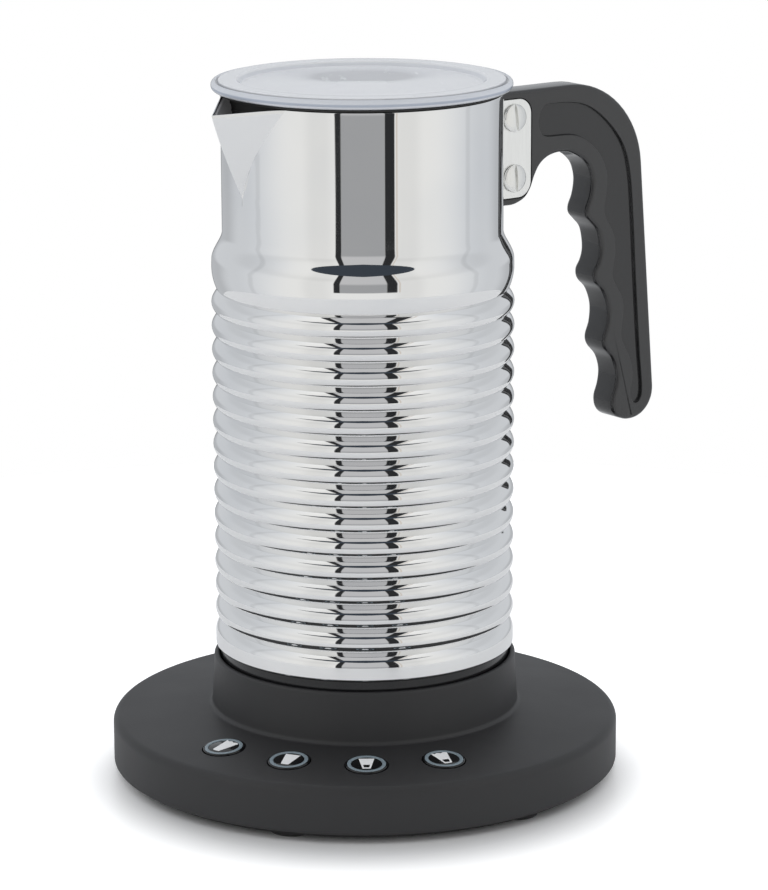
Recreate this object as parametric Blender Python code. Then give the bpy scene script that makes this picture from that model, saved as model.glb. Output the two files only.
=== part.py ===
"""Electric milk frother: a ribbed steel jug with lid, handle and whisk on a round induction base.

World frame: Z up, origin on the base's axis at the level of the feet, buttons towards -Y.
"""
import math

import bmesh
import bpy

for leftover in list(bpy.data.objects):
    bpy.data.objects.remove(leftover)

MM = 0.001
GAP = 0.3 * MM                      # clearance between touching pieces

# ---- driving dimensions: base ------------------------------------------------------------
BASE_RADIUS = 72.0 * MM
BASE_TOP = 18.6 * MM                # height of the top where it meets the collar
BASE_SLOPE = math.radians(6.0)      # the top falls away towards the rim
BASE_SKIRT = 2.5 * MM               # lower edge of the side wall
BASE_WALL = 2.0 * MM
BASE_FILLET = 2.3 * MM              # rounding between side wall and top
COLLAR_FILLET = 1.3 * MM            # rounding at the foot of the collar
COLLAR_RADIUS = 43.6 * MM           # at the foot of the collar
COLLAR_TIP_RADIUS = 42.9 * MM       # at its top
COLLAR_TOP = 33.6 * MM
COLLAR_BORE = 41.4 * MM             # the recess that holds the jug
SEAT_TOP = 21.8 * MM                # floor of the recess
SEAT_THICKNESS = 1.7 * MM
LEDGE_RADIUS = 38.5 * MM            # inner edge of the ledge that carries the seat
BOTTOM_RADIUS = 69.3 * MM
BOTTOM_UNDERSIDE = 1.1 * MM
BOTTOM_TOP = 3.5 * MM
HUB_RADIUS = 18.0 * MM              # central hub on the underside, level with the feet
FOOT_COUNT = 6
FOOT_CIRCLE = 62.8 * MM
FOOT_RADIUS = 6.0 * MM
FOOT_START = math.radians(-109)
SCREW_ANGLES = [math.radians(angle) for angle in (20, 140, 200, 320)]
SCREW_CIRCLE = 62.0 * MM
BOSS_RADIUS = 3.6 * MM
BOSS_HOLE_RADIUS = 1.6 * MM
BOSS_HOLE_TOP = 12.0 * MM
BUTTON_COUNT = 4
BUTTON_CIRCLE = 56.6 * MM
BUTTON_PITCH = math.radians(22.0)
BUTTON_MIDDLE = math.radians(-101.0)
BUTTON_RADIUS = 5.8 * MM
BUTTON_RISE = 0.4 * MM              # how far a cap stands out of the sloping top
BUTTON_DEPTH = 5.2 * MM             # from a cap's top to the end of its stem
BUTTON_FLANGE = 1.2 * MM            # width and thickness of a cap's retaining flange
OUTLET_HEIGHT = 8.5 * MM
OUTLET_RADIUS = 3.8 * MM
BOARD_BOTTOM = 6.0 * MM
BOARD_TOP = 7.6 * MM
SWITCH_TOP = 11.2 * MM
MOTOR_RADIUS = 12.0 * MM
MOTOR_TOP = 12.2 * MM
ROTOR_RADIUS = 11.8 * MM
ROTOR_BOTTOM = 15.0 * MM
ROTOR_TOP = 18.5 * MM
MAGNET_CIRCLE = 7.5 * MM
CARRIER_BOTTOM = 12.8 * MM
CARRIER_TOP = 14.6 * MM
COIL_TOP = 17.9 * MM

# ---- driving dimensions: jug -------------------------------------------------------------
JUG_BOTTOM = 36.35 * MM
RIB_COUNT = 14
RIB_TOP_CENTRE = 135.2 * MM
RIB_PITCH = 6.78 * MM
RIB_PEAK = 42.34 * MM
RIB_VALLEY = 40.3 * MM
SHOULDER_RADIUS = 42.3 * MM
SHOULDER_CENTRE = 145.6 * MM
NECK_RADIUS = 39.15 * MM
NECK_START = 156.5 * MM
JUG_RIM = 193.6 * MM
SHELL_WALL = 0.6 * MM
CUP_RADIUS = 37.3 * MM
CUP_WALL = 0.6 * MM
CUP_BOTTOM = 26.2 * MM
CUP_CORNER = 5.0 * MM
SKIRT_RADIUS = 41.1 * MM
SPOUT_AZIMUTH = math.radians(213.5)
SPOUT_START = 167.6 * MM
SPOUT_TIP_HEIGHT = 191.2 * MM
SPOUT_TIP_RADIUS = 48.7 * MM
SPOUT_HALF_ANGLE = math.radians(20.5)
LID_RADIUS = 41.75 * MM
LID_BOTTOM = 194.5 * MM
LID_TOP = 197.6 * MM
LID_EDGE_RADIUS = (LID_TOP - LID_BOTTOM) / 2
LID_RECESS_RADIUS = 34.2 * MM
LID_PLATE_TOP = 196.1 * MM
PLUG_RADIUS = 35.7 * MM
PLUG_BOTTOM = 186.5 * MM
PLUG_WALL = 2.0 * MM
SEAL_BOTTOM = 188.0 * MM
SEAL_THICKNESS = 0.6 * MM
SEAL_FLANGE_RADIUS = 40.0 * MM
SEAL_GAP = 0.2 * MM

# ---- driving dimensions: whisk -----------------------------------------------------------
HUB_UNDERSIDE = 28.4 * MM
HUB_TOP = 42.2 * MM
HUB_FLANGE_RADIUS = 12.4 * MM
HUB_FLANGE_TOP = 32.2 * MM
HUB_NECK_RADIUS = 5.0 * MM
HUB_MOUTH_RADIUS = 5.6 * MM         # the bore widens to this, over the spindle's foot
HUB_MOUTH_TOP = 29.0 * MM
HUB_BORE_BOTTOM = 30.0 * MM
HUB_BORE_TOP = 40.8 * MM
HUB_BORE_PLAY = 0.4 * MM
HUB_MAGNET_CIRCLE = 9.0 * MM
HUB_MAGNET_RADIUS = 2.1 * MM
HUB_MAGNET_HEIGHT = 1.8 * MM
FRAME_SECTION = 1.6 * MM
FRAME_CAP_RADIUS = 6.0 * MM
FRAME_CAP_HEIGHT = 2.4 * MM
FRAME_ARM_HALF = 0.9 * MM
FRAME_ARM_LOW = 0.6 * MM            # above the cap's underside
FRAME_ARM_HIGH = 1.8 * MM
FRAME_ARM_TURN = math.radians(10)

# ---- driving dimensions: pieces in the base ----------------------------------------------
HUB_CHAMFER = 0.5 * MM
CARRIER_POST_RADIUS = 2.5 * MM
CARRIER_POST_CIRCLE = 33.0 * MM
BOARD_POST_RADIUS = 2.2 * MM
BOARD_POST_CIRCLE = 48.0 * MM
BOARD_POST_TURNS = (-36, 0, 36)     # degrees from the middle of the buttons
POST_ROOT = 1.0 * MM                # how far a post is sunk into the plate
BASE_SCREW_HOLE = 1.7 * MM
BASE_SCREW_SINK = 3.1 * MM
BASE_SCREW_SINK_TOP = 2.3 * MM
BASE_SCREW_HEAD = 2.8 * MM
BASE_SCREW_HEAD_LOW = 1.3 * MM
BASE_SCREW_HEAD_TOP = 2.2 * MM
BASE_SCREW_SHANK = 1.3 * MM
BASE_SCREW_TIP = 11.5 * MM
OUTLET_BORE = 2.8 * MM
OUTLET_FLANGE_RADIUS = 4.6 * MM
OUTLET_INNER = 66.2 * MM
OUTLET_SHOULDER = 69.2 * MM
OUTLET_END = 71.5 * MM
CARRIER_INNER = 15.5 * MM
CARRIER_OUTER = 38.5 * MM
COIL_INNER = 16.5 * MM
COIL_OUTER = 37.0 * MM
FERRITE_INNER = 18.0 * MM
FERRITE_OUTER = 36.0 * MM
FERRITE_HALF_WIDTH = 2.5 * MM
FERRITE_HEIGHT = 2.5 * MM
SHAFT_RADIUS = 1.0 * MM
SHAFT_BOTTOM = 4.0 * MM
MOTOR_BORE = 1.4 * MM
DISC_BORE = 1.3 * MM
DRIVE_MAGNET_RADIUS = 2.5 * MM
DRIVE_MAGNET_BOTTOM = 16.3 * MM
DRIVE_POCKET_RADIUS = 2.8 * MM
DRIVE_POCKET_BOTTOM = 16.0 * MM
BOARD_HALF_SWEEP = math.radians(42)
BOARD_OUTER = 67.5 * MM
BOARD_INNER = 44.0 * MM
SWITCH_HALF = 3.0 * MM

# ---- driving dimensions: handle ----------------------------------------------------------
HANDLE_AZIMUTH = math.radians(36.5)
HANDLE_HALF_WIDTH = 4.8 * MM
HANDLE_ROOT = 41.1 * MM             # distance of its inner end from the jug's axis
HANDLE_TOP = 189.6 * MM
LOBE_BOTTOM = 157.0 * MM            # underside of the lobe at the bracket
ARCH_TOP = 170.6 * MM
GRIP_RIDGE_TOP = (77.7 * MM, 152.0 * MM)
GRIP_RIDGE_BOTTOM = (88.1 * MM, 92.8 * MM)
GRIP_SCALLOPS = 3
GRIP_DEPTH = 4.2 * MM
CHEEK_THICKNESS = 1.2 * MM
SCREW_HOLE = 1.8 * MM
SCREW_SHANK = 1.4 * MM
SCREW_SHANK_END = 5.5 * MM
SCREW_HEAD = 4.0 * MM
SCREW_HEAD_HEIGHT = 1.2 * MM
SCREW_SLOT = 0.9 * MM               # width of the slot
SCREW_SEAT_GAP = 0.1 * MM
NUT_BORE = 1.7 * MM
NUT_HEIGHT = 1.4 * MM
CHEEK_END = 56.6 * MM
CHEEK_BOTTOM = 159.1 * MM
CHEEK_TOP = 187.4 * MM
HANDLE_SCREW_DISTANCE = 50.3 * MM
HANDLE_SCREW_HEIGHTS = (182.1 * MM, 164.8 * MM)

# ---- driving dimensions: whisk -----------------------------------------------------------
SPINDLE_RADIUS = 3.0 * MM
WHISK_RING_RADIUS = 14.0 * MM
WHISK_RING_HEIGHT = 44.0 * MM

BASE_STEPS = 48                     # facets round the large turned pieces
JUG_STEPS = 36

FINISHES = {                        # colour, roughness, metallic
    "soft_black": ((0.035, 0.035, 0.037), 0.55, 0.0),
    "plain_black": ((0.02, 0.02, 0.02), 0.5, 0.0),
    "gloss_black": ((0.012, 0.012, 0.013), 0.15, 0.0),
    "light_ring": ((0.32, 0.37, 0.41), 0.35, 0.0),
    "mirror_steel": ((0.8, 0.8, 0.8), 0.05, 1.0),
    "plain_steel": ((0.65, 0.65, 0.63), 0.3, 1.0),
    "cup_coating": ((0.09, 0.09, 0.095), 0.45, 0.2),
    "clear_plastic": ((0.85, 0.86, 0.88), 0.08, 0.0),
    "dark_rubber": ((0.03, 0.03, 0.03), 0.8, 0.0),
    "handle_black": ((0.03, 0.03, 0.032), 0.3, 0.0),
    "copper": ((0.7, 0.35, 0.2), 0.35, 1.0),
    "ferrite": ((0.05, 0.05, 0.05), 0.6, 0.2),
    "board_green": ((0.03, 0.18, 0.08), 0.5, 0.0),
}


# ---- tools -------------------------------------------------------------------------------
def finish(name):
    """The material of that name, made on first use."""
    material = bpy.data.materials.get(name)
    if material is None:
        colour, roughness, metallic = FINISHES[name]
        material = bpy.data.materials.new(name)
        material.use_nodes = True
        shader = material.node_tree.nodes["Principled BSDF"]
        shader.inputs["Base Color"].default_value = (*colour, 1.0)
        shader.inputs["Roughness"].default_value = roughness
        shader.inputs["Metallic"].default_value = metallic
    return material


def add_object(name, bm, material, parent=None, location=(0, 0, 0), rotation=(0, 0, 0)):
    """Turn a finished bmesh into a named, smooth-shaded object."""
    bmesh.ops.recalc_face_normals(bm, faces=bm.faces)
    mesh = bpy.data.meshes.new(name)
    bm.to_mesh(mesh)
    bm.free()
    mesh.shade_smooth()
    mesh.set_sharp_from_angle(angle=math.radians(30))
    mesh.materials.append(finish(material))
    thing = bpy.data.objects.new(name, mesh)
    thing.location = location
    thing.rotation_euler = rotation
    thing.parent = parent
    bpy.context.collection.objects.link(thing)
    return thing


def axis_empty(name, parent=None, location=(0, 0, 0), rotation=(0, 0, 0)):
    """An empty on a joint's axis that carries the pieces of one moving body."""
    empty = bpy.data.objects.new(name, None)
    empty.location = location
    empty.rotation_euler = rotation
    empty.parent = parent
    bpy.context.collection.objects.link(empty)
    return empty


def turned(name, outline, material, steps, start=0.0, reshape=None, **place):
    """Spin an (r, z) outline round the Z axis. It closes on itself unless both ends are on the axis."""
    bm = bmesh.new()
    points = [bm.verts.new((r * math.cos(start), r * math.sin(start), z)) for r, z in outline]
    pairs = list(zip(points, points[1:]))
    on_axis = outline[0][0] == 0 and outline[-1][0] == 0
    if not on_axis:
        pairs.append((points[-1], points[0]))
    edges = [bm.edges.new(pair) for pair in pairs]
    bmesh.ops.spin(bm, geom=points + edges, axis=(0, 0, 1), cent=(0, 0, 0), angle=math.tau,
                   steps=steps, use_merge=True)
    bmesh.ops.remove_doubles(bm, verts=bm.verts, dist=0.001 * MM)
    if reshape:
        for vert in bm.verts:
            reshape(vert)
    return add_object(name, bm, material, **place)


def prism(name, outline, low, high, material, plane="XY", **place):
    """Extrude a flat outline. Plane XY rises along Z, plane XZ runs along Y."""
    bm = bmesh.new()
    if plane == "XY":
        points = [bm.verts.new((a, b, low)) for a, b in outline]
        step = (0, 0, high - low)
    else:
        points = [bm.verts.new((a, low, b)) for a, b in outline]
        step = (0, high - low, 0)
    face = bm.faces.new(points)
    grown = bmesh.ops.extrude_face_region(bm, geom=[face])
    moved = [item for item in grown["geom"] if isinstance(item, bmesh.types.BMVert)]
    bmesh.ops.translate(bm, verts=moved, vec=step)
    return add_object(name, bm, material, **place)


def rods(name, radius, low, high, places, steps=16):
    """Upright rods at the (x, y) places, for cutting or adding."""
    bm = bmesh.new()
    for x, y in places:
        made = bmesh.ops.create_cone(bm, cap_ends=True, segments=steps, radius1=radius,
                                     radius2=radius, depth=high - low)
        bmesh.ops.translate(bm, verts=made["verts"], vec=(x, y, (low + high) / 2))
    return add_object(name, bm, "plain_black")


def combine(target, other, operation):
    """Apply another object to target with a Boolean modifier, and hide the other as a guide."""
    modifier = target.modifiers.new(other.name, "BOOLEAN")
    modifier.operation = operation
    modifier.solver = "EXACT"
    modifier.object = other
    other.hide_render = True
    other.display_type = "WIRE"


def ring_outline(inner, outer, low, high):
    """A rectangular section for turned()."""
    return [(inner, low), (outer, low), (outer, high), (inner, high)]


def arc(centre, radius, start, end, steps):
    """Points on an arc, angles in degrees."""
    angles = [math.radians(start + (end - start) * step / steps) for step in range(steps + 1)]
    return [(centre[0] + radius * math.cos(a), centre[1] + radius * math.sin(a)) for a in angles]


def filleted(corners, steps=5):
    """An outline from (x, y, fillet radius) corners."""
    outline = []
    for index, (x, y, radius) in enumerate(corners):
        if radius == 0:
            outline.append((x, y))
            continue
        before = corners[index - 1]
        after = corners[(index + 1) % len(corners)]
        to_before = math.atan2(before[1] - y, before[0] - x)
        to_after = math.atan2(after[1] - y, after[0] - x)
        opening = (to_after - to_before + math.pi) % math.tau - math.pi
        reach = radius / math.sin(abs(opening) / 2)
        middle = to_before + opening / 2
        centre = (x + reach * math.cos(middle), y + reach * math.sin(middle))
        sweep = (math.pi - abs(opening)) * math.copysign(1, opening)
        first = to_before - math.copysign(math.pi / 2, opening)
        for step in range(steps + 1):
            angle = first - sweep * step / steps
            outline.append((centre[0] + radius * math.cos(angle), centre[1] + radius * math.sin(angle)))
    return outline


def around(radius, angle):
    """The (x, y) place at that distance and angle from the Z axis."""
    return radius * math.cos(angle), radius * math.sin(angle)


# ---- base --------------------------------------------------------------------------------
def button_angles():
    """Angles of the buttons round the base, left to right."""
    first = BUTTON_MIDDLE - BUTTON_PITCH * (BUTTON_COUNT - 1) / 2
    return [first + BUTTON_PITCH * index for index in range(BUTTON_COUNT)]


def button_spots():
    """Place and tilt of each cap's top centre: the caps lie square to the sloping top."""
    height = top_height(BUTTON_CIRCLE) + BUTTON_RISE / math.cos(BASE_SLOPE)
    return [{"location": (*around(BUTTON_CIRCLE, angle), height), "rotation": (0, BASE_SLOPE, angle)}
            for angle in button_angles()]


def outlet_angle():
    """The cord leaves the base opposite the middle of the button row."""
    return BUTTON_MIDDLE + math.pi


def top_height(radius):
    """Height of the sloping top at that distance from the axis."""
    foot = COLLAR_RADIUS + COLLAR_FILLET
    return BASE_TOP - (radius - foot) * math.tan(BASE_SLOPE)


def cover_outline():
    """Section of the cover: bore and collar, sloping top, side wall, then back along the inside."""
    slope = math.degrees(BASE_SLOPE)
    tip_round = 1.2 * MM
    edge_break = 0.4 * MM
    ledge_top = SEAT_TOP - SEAT_THICKNESS - GAP
    inner = BASE_RADIUS - BASE_WALL - GAP
    fillet_foot = COLLAR_RADIUS + COLLAR_FILLET
    fillet_edge = BASE_RADIUS - BASE_FILLET
    outline = [(LEDGE_RADIUS, ledge_top), (COLLAR_BORE, ledge_top), (COLLAR_BORE, COLLAR_TOP - edge_break),
               (COLLAR_BORE + edge_break, COLLAR_TOP)]
    outline += arc((COLLAR_TIP_RADIUS - tip_round, COLLAR_TOP - tip_round), tip_round, 70, 0, 2)
    outline += arc((fillet_foot, top_height(fillet_foot) + COLLAR_FILLET / math.cos(BASE_SLOPE)),
                   COLLAR_FILLET, 180, 270 - slope, 2)
    outline += arc((fillet_edge, top_height(fillet_edge) - BASE_FILLET / math.cos(BASE_SLOPE)),
                   BASE_FILLET, 90 - slope, 0, 4)
    outline += [(BASE_RADIUS - edge_break, BASE_SKIRT + edge_break),
                (BASE_RADIUS - 2 * edge_break, BASE_SKIRT)]
    outline += [(inner, BASE_SKIRT), (inner, top_height(inner) - BASE_WALL)]
    outline += [(LEDGE_RADIUS, top_height(LEDGE_RADIUS) - BASE_WALL)]
    return outline


def base_cover():
    """Side wall, sloping top and collar in one moulding."""
    cover = turned("base_cover", cover_outline(), "soft_black", steps=BASE_STEPS)
    places = [around(SCREW_CIRCLE, angle) for angle in SCREW_ANGLES]
    boss_top = top_height(SCREW_CIRCLE) - BASE_WALL / 2
    bosses = rods("base_bosses", BOSS_RADIUS, BOTTOM_TOP + GAP, boss_top, places, steps=12)
    combine(cover, bosses, "UNION")
    holes = rods("boss_holes", BOSS_HOLE_RADIUS, 0, BOSS_HOLE_TOP, places, steps=10)
    combine(cover, holes, "DIFFERENCE")
    window = BUTTON_RADIUS + GAP
    depth = 2 * BASE_WALL
    outline = [(0, -depth), (window, -depth), (window, depth), (0, depth)]
    for index, spot in enumerate(button_spots()):
        cutter = turned(f"button_window_{index + 1}", outline, "plain_black", steps=16, **spot)
        combine(cover, cutter, "DIFFERENCE")
    near = BASE_RADIUS - 6 * BASE_WALL
    far = BASE_RADIUS + 4 * BASE_WALL
    bore = OUTLET_RADIUS + GAP
    port = turned("outlet_port", [(0, near), (bore, near), (bore, far), (0, far)], "plain_black",
                  steps=16, location=(0, 0, OUTLET_HEIGHT), rotation=(0, math.pi / 2, outlet_angle()))
    combine(cover, port, "DIFFERENCE")


def jug_seat():
    """Plate that closes the recess, on the ledge inside the collar."""
    low = SEAT_TOP - SEAT_THICKNESS
    edge = COLLAR_BORE - GAP
    outline = [(0, low), (edge, low), (edge, SEAT_TOP - 0.3 * MM), (edge - 0.3 * MM, SEAT_TOP), (0, SEAT_TOP)]
    turned("jug_seat", outline, "plain_black", steps=BASE_STEPS)


def base_bottom():
    """Cover plate of the underside, with a central hub and the posts that carry the inside."""
    outline = [(0, 0), (HUB_RADIUS - HUB_CHAMFER, 0), (HUB_RADIUS, HUB_CHAMFER),
               (HUB_RADIUS, BOTTOM_UNDERSIDE), (BOTTOM_RADIUS, BOTTOM_UNDERSIDE),
               (BOTTOM_RADIUS, BOTTOM_TOP), (0, BOTTOM_TOP)]
    plate = turned("base_bottom", outline, "plain_black", steps=BASE_STEPS)
    root = BOTTOM_TOP - POST_ROOT
    places = [around(CARRIER_POST_CIRCLE, math.radians(45 + 90 * quarter)) for quarter in range(4)]
    posts = rods("carrier_posts", CARRIER_POST_RADIUS, root, CARRIER_BOTTOM - GAP, places, 10)
    combine(plate, posts, "UNION")
    places = [around(BOARD_POST_CIRCLE, BUTTON_MIDDLE + math.radians(turn)) for turn in BOARD_POST_TURNS]
    posts = rods("board_posts", BOARD_POST_RADIUS, root, BOARD_BOTTOM - GAP, places, 10)
    combine(plate, posts, "UNION")
    places = [around(SCREW_CIRCLE, angle) for angle in SCREW_ANGLES]
    holes = rods("plate_holes", BASE_SCREW_HOLE, -BOTTOM_TOP, 2 * BOTTOM_TOP, places, 10)
    combine(plate, holes, "DIFFERENCE")
    sinks = rods("plate_sinks", BASE_SCREW_SINK, -BOTTOM_TOP, BASE_SCREW_SINK_TOP, places, 12)
    combine(plate, sinks, "DIFFERENCE")
    return plate


def feet():
    """Rubber pads under the bottom plate."""
    for index in range(FOOT_COUNT):
        x, y = around(FOOT_CIRCLE, FOOT_START + math.tau * index / FOOT_COUNT)
        outline = [(0, 0), (FOOT_RADIUS - 0.3 * MM, 0), (FOOT_RADIUS, 0.3 * MM),
                   (FOOT_RADIUS, BOTTOM_UNDERSIDE - 0.1 * MM), (0, BOTTOM_UNDERSIDE - 0.1 * MM)]
        turned(f"foot_{index + 1}", outline, "dark_rubber", steps=12, location=(x, y, 0))


def base_screws():
    """Screws that hold the bottom plate to the cover's bosses."""
    chamfer = BASE_SCREW_HEAD - 0.2 * MM
    outline = [(0, BASE_SCREW_HEAD_LOW), (chamfer, BASE_SCREW_HEAD_LOW),
               (BASE_SCREW_HEAD, BASE_SCREW_HEAD_LOW + 0.3 * MM), (BASE_SCREW_HEAD, BASE_SCREW_HEAD_TOP),
               (BASE_SCREW_SHANK, BASE_SCREW_HEAD_TOP), (BASE_SCREW_SHANK, BASE_SCREW_TIP - 1 * MM),
               (0, BASE_SCREW_TIP)]
    for index, angle in enumerate(SCREW_ANGLES):
        x, y = around(SCREW_CIRCLE, angle)
        turned(f"base_screw_{index + 1}", outline, "plain_steel", steps=8, location=(x, y, 0))


def cord_outlet():
    """Bush in the back of the side wall that the cord would leave through."""
    outline = [(OUTLET_BORE, OUTLET_INNER), (OUTLET_FLANGE_RADIUS, OUTLET_INNER),
               (OUTLET_FLANGE_RADIUS, OUTLET_SHOULDER), (OUTLET_RADIUS, OUTLET_SHOULDER),
               (OUTLET_RADIUS, OUTLET_END), (OUTLET_BORE, OUTLET_END)]
    turned("cord_outlet", outline, "dark_rubber", steps=16, location=(0, 0, OUTLET_HEIGHT),
           rotation=(0, math.pi / 2, outlet_angle()))


def heater():
    """Induction coil on its carrier, with ferrite bars underneath."""
    carrier = ring_outline(CARRIER_INNER, CARRIER_OUTER, CARRIER_BOTTOM, CARRIER_TOP)
    turned("coil_carrier", carrier, "plain_black", steps=32)
    coil = ring_outline(COIL_INNER, COIL_OUTER, CARRIER_TOP + GAP, COIL_TOP)
    turned("induction_coil", coil, "copper", steps=32)
    half = FERRITE_HALF_WIDTH
    bar = [(FERRITE_INNER, -half), (FERRITE_OUTER, -half), (FERRITE_OUTER, half), (FERRITE_INNER, half)]
    top = CARRIER_BOTTOM - GAP
    for index in range(4):
        prism(f"ferrite_bar_{index + 1}", bar, top - FERRITE_HEIGHT, top, "ferrite",
              rotation=(0, 0, math.radians(90 * index)))


def motor_and_drive():
    """Flat motor with a shaft that turns the disc of drive magnets."""
    outline = ring_outline(MOTOR_BORE, MOTOR_RADIUS, BOTTOM_TOP + GAP, MOTOR_TOP)
    turned("motor_can", outline, "plain_steel", steps=32)
    drive_axis = axis_empty("drive_axis")
    outline = [(0, SHAFT_BOTTOM), (SHAFT_RADIUS, SHAFT_BOTTOM), (SHAFT_RADIUS, ROTOR_TOP), (0, ROTOR_TOP)]
    turned("motor_shaft", outline, "plain_steel", steps=12, parent=drive_axis)
    outline = ring_outline(DISC_BORE, ROTOR_RADIUS, ROTOR_BOTTOM, ROTOR_TOP)
    disc = turned("drive_disc", outline, "plain_black", steps=32, parent=drive_axis)
    places = [(MAGNET_CIRCLE, 0), (-MAGNET_CIRCLE, 0)]
    pockets = rods("drive_pockets", DRIVE_POCKET_RADIUS, DRIVE_POCKET_BOTTOM, 2 * ROTOR_TOP, places, 16)
    combine(disc, pockets, "DIFFERENCE")
    outline = [(0, DRIVE_MAGNET_BOTTOM), (DRIVE_MAGNET_RADIUS, DRIVE_MAGNET_BOTTOM),
               (DRIVE_MAGNET_RADIUS, ROTOR_TOP), (0, ROTOR_TOP)]
    for index, (x, y) in enumerate(places):
        turned(f"drive_magnet_{index + 1}", outline, "plain_steel", steps=16, parent=drive_axis,
               location=(x, y, 0))


def electronics():
    """Curved board below the buttons, with one switch under each."""
    steps = 16
    angles = [BUTTON_MIDDLE + BOARD_HALF_SWEEP * (2 * step / steps - 1) for step in range(steps + 1)]
    outline = [around(BOARD_OUTER, angle) for angle in angles]
    outline += [around(BOARD_INNER, angle) for angle in reversed(angles)]
    prism("circuit_board", outline, BOARD_BOTTOM, BOARD_TOP, "board_green")
    side = SWITCH_HALF
    square = [(-side, -side), (side, -side), (side, side), (-side, side)]
    for index, angle in enumerate(button_angles()):
        x, y = around(BUTTON_CIRCLE, angle)
        prism(f"switch_{index + 1}", square, BOARD_TOP + GAP, SWITCH_TOP, "gloss_black",
              location=(x, y, 0), rotation=(0, 0, angle))


def buttons():
    """Round caps with a retaining flange and a stem, each with a light ring let into its top."""
    flange_top = -(BUTTON_RISE + BASE_WALL + GAP)
    flange_low = BUTTON_FLANGE - BUTTON_DEPTH
    flange_edge = BUTTON_RADIUS + BUTTON_FLANGE
    stem = 1.5 * MM
    edge_break = 0.3 * MM
    groove = -0.6 * MM
    groove_inner = 4.2 * MM
    groove_outer = BUTTON_RADIUS - 0.4 * MM
    ring_gap = 0.1 * MM
    outline = [(0, -BUTTON_DEPTH), (stem, -BUTTON_DEPTH), (stem, flange_low), (flange_edge, flange_low),
               (flange_edge, flange_top), (BUTTON_RADIUS, flange_top), (BUTTON_RADIUS, -edge_break),
               (BUTTON_RADIUS - edge_break, 0), (groove_outer, 0), (groove_outer, groove),
               (groove_inner, groove), (groove_inner, 0), (0, 0)]
    ring = ring_outline(groove_inner + ring_gap, groove_outer - ring_gap, groove + ring_gap, ring_gap)
    for index, spot in enumerate(button_spots()):
        turned(f"button_cap_{index + 1}", outline, "gloss_black", steps=16, **spot)
        turned(f"button_ring_{index + 1}", ring, "light_ring", steps=16, **spot)


# ---- jug ---------------------------------------------------------------------------------
def spout_growth(angle, z):
    """How far the neck bulges out at this angle and height to form the V-shaped spout."""
    rise = (z - SPOUT_START) / (SPOUT_TIP_HEIGHT - SPOUT_START)
    rise = min(max(rise, 0.0), 1.0)
    half = SPOUT_HALF_ANGLE * rise ** 2.2
    turn = abs((angle - SPOUT_AZIMUTH + math.pi) % math.tau - math.pi)
    if turn >= half:
        return 0.0
    keel = NECK_RADIUS + (SPOUT_TIP_RADIUS - NECK_RADIUS) * (1.35 * rise - 0.35 * rise ** 2)
    side = NECK_RADIUS * math.sin(half)
    back = keel - NECK_RADIUS * math.cos(half)
    facet = keel * side / (side * math.cos(turn) + back * math.sin(turn))
    return facet - NECK_RADIUS


def spout_puller(share):
    """A reshape that moves points out into the spout by this share of its growth, and dips the rim."""
    def pull(vert):
        if vert.co.z <= SPOUT_START:
            return
        angle = math.atan2(vert.co.y, vert.co.x)
        growth = spout_growth(angle, vert.co.z)
        vert.co.x += share * growth * math.cos(angle)
        vert.co.y += share * growth * math.sin(angle)
        if vert.co.z > SPOUT_TIP_HEIGHT:
            reach = growth / (SPOUT_TIP_RADIUS - NECK_RADIUS)
            vert.co.z -= (JUG_RIM - SPOUT_TIP_HEIGHT) * min(reach, 1.0)
    return pull


def neck_heights():
    """Rows of points up the neck, closer together through the spout."""
    return [SPOUT_START + (JUG_RIM - 0.4 * MM - SPOUT_START) * row / 6 for row in range(7)]


def jug_shell_outline():
    """Section of the outer wall: ribbed body, rounded shoulder and straight neck, then back inside."""
    outline = [(SKIRT_RADIUS + 0.2 * MM, JUG_BOTTOM), (RIB_PEAK - 0.2 * MM, JUG_BOTTOM + 0.7 * MM),
               (RIB_PEAK, JUG_BOTTOM + 3 * MM)]
    for rib in reversed(range(RIB_COUNT)):
        centre = RIB_TOP_CENTRE - RIB_PITCH * rib
        outline.append((RIB_VALLEY, centre - RIB_PITCH / 2))
        outline.append((RIB_PEAK, centre))
    outline.append((RIB_VALLEY, RIB_TOP_CENTRE + RIB_PITCH / 2))
    outline += [(SHOULDER_RADIUS - 0.8 * MM, SHOULDER_CENTRE - 4.3 * MM),
                (SHOULDER_RADIUS, SHOULDER_CENTRE), (SHOULDER_RADIUS - 0.6 * MM, SHOULDER_CENTRE + 3.4 * MM),
                (NECK_RADIUS + 0.8 * MM, SHOULDER_CENTRE + 6.4 * MM), (NECK_RADIUS, NECK_START)]
    outline += [(NECK_RADIUS, z) for z in neck_heights()]
    outline += [(NECK_RADIUS - SHELL_WALL / 2, JUG_RIM)]
    inner = NECK_RADIUS - SHELL_WALL
    outline += [(inner, z) for z in reversed(neck_heights())]
    outline += [(inner, NECK_START - 3 * MM), (RIB_VALLEY - SHELL_WALL, SHOULDER_CENTRE),
                (RIB_VALLEY - SHELL_WALL, JUG_BOTTOM + 2 * MM),
                (SKIRT_RADIUS + 0.2 * MM, JUG_BOTTOM + 0.7 * MM)]
    return outline


def cup_rows():
    """Heights of the cup wall's rows of points, from above the floor's corner to the rim."""
    return [CUP_BOTTOM + CUP_CORNER + GAP] + neck_heights()


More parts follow.
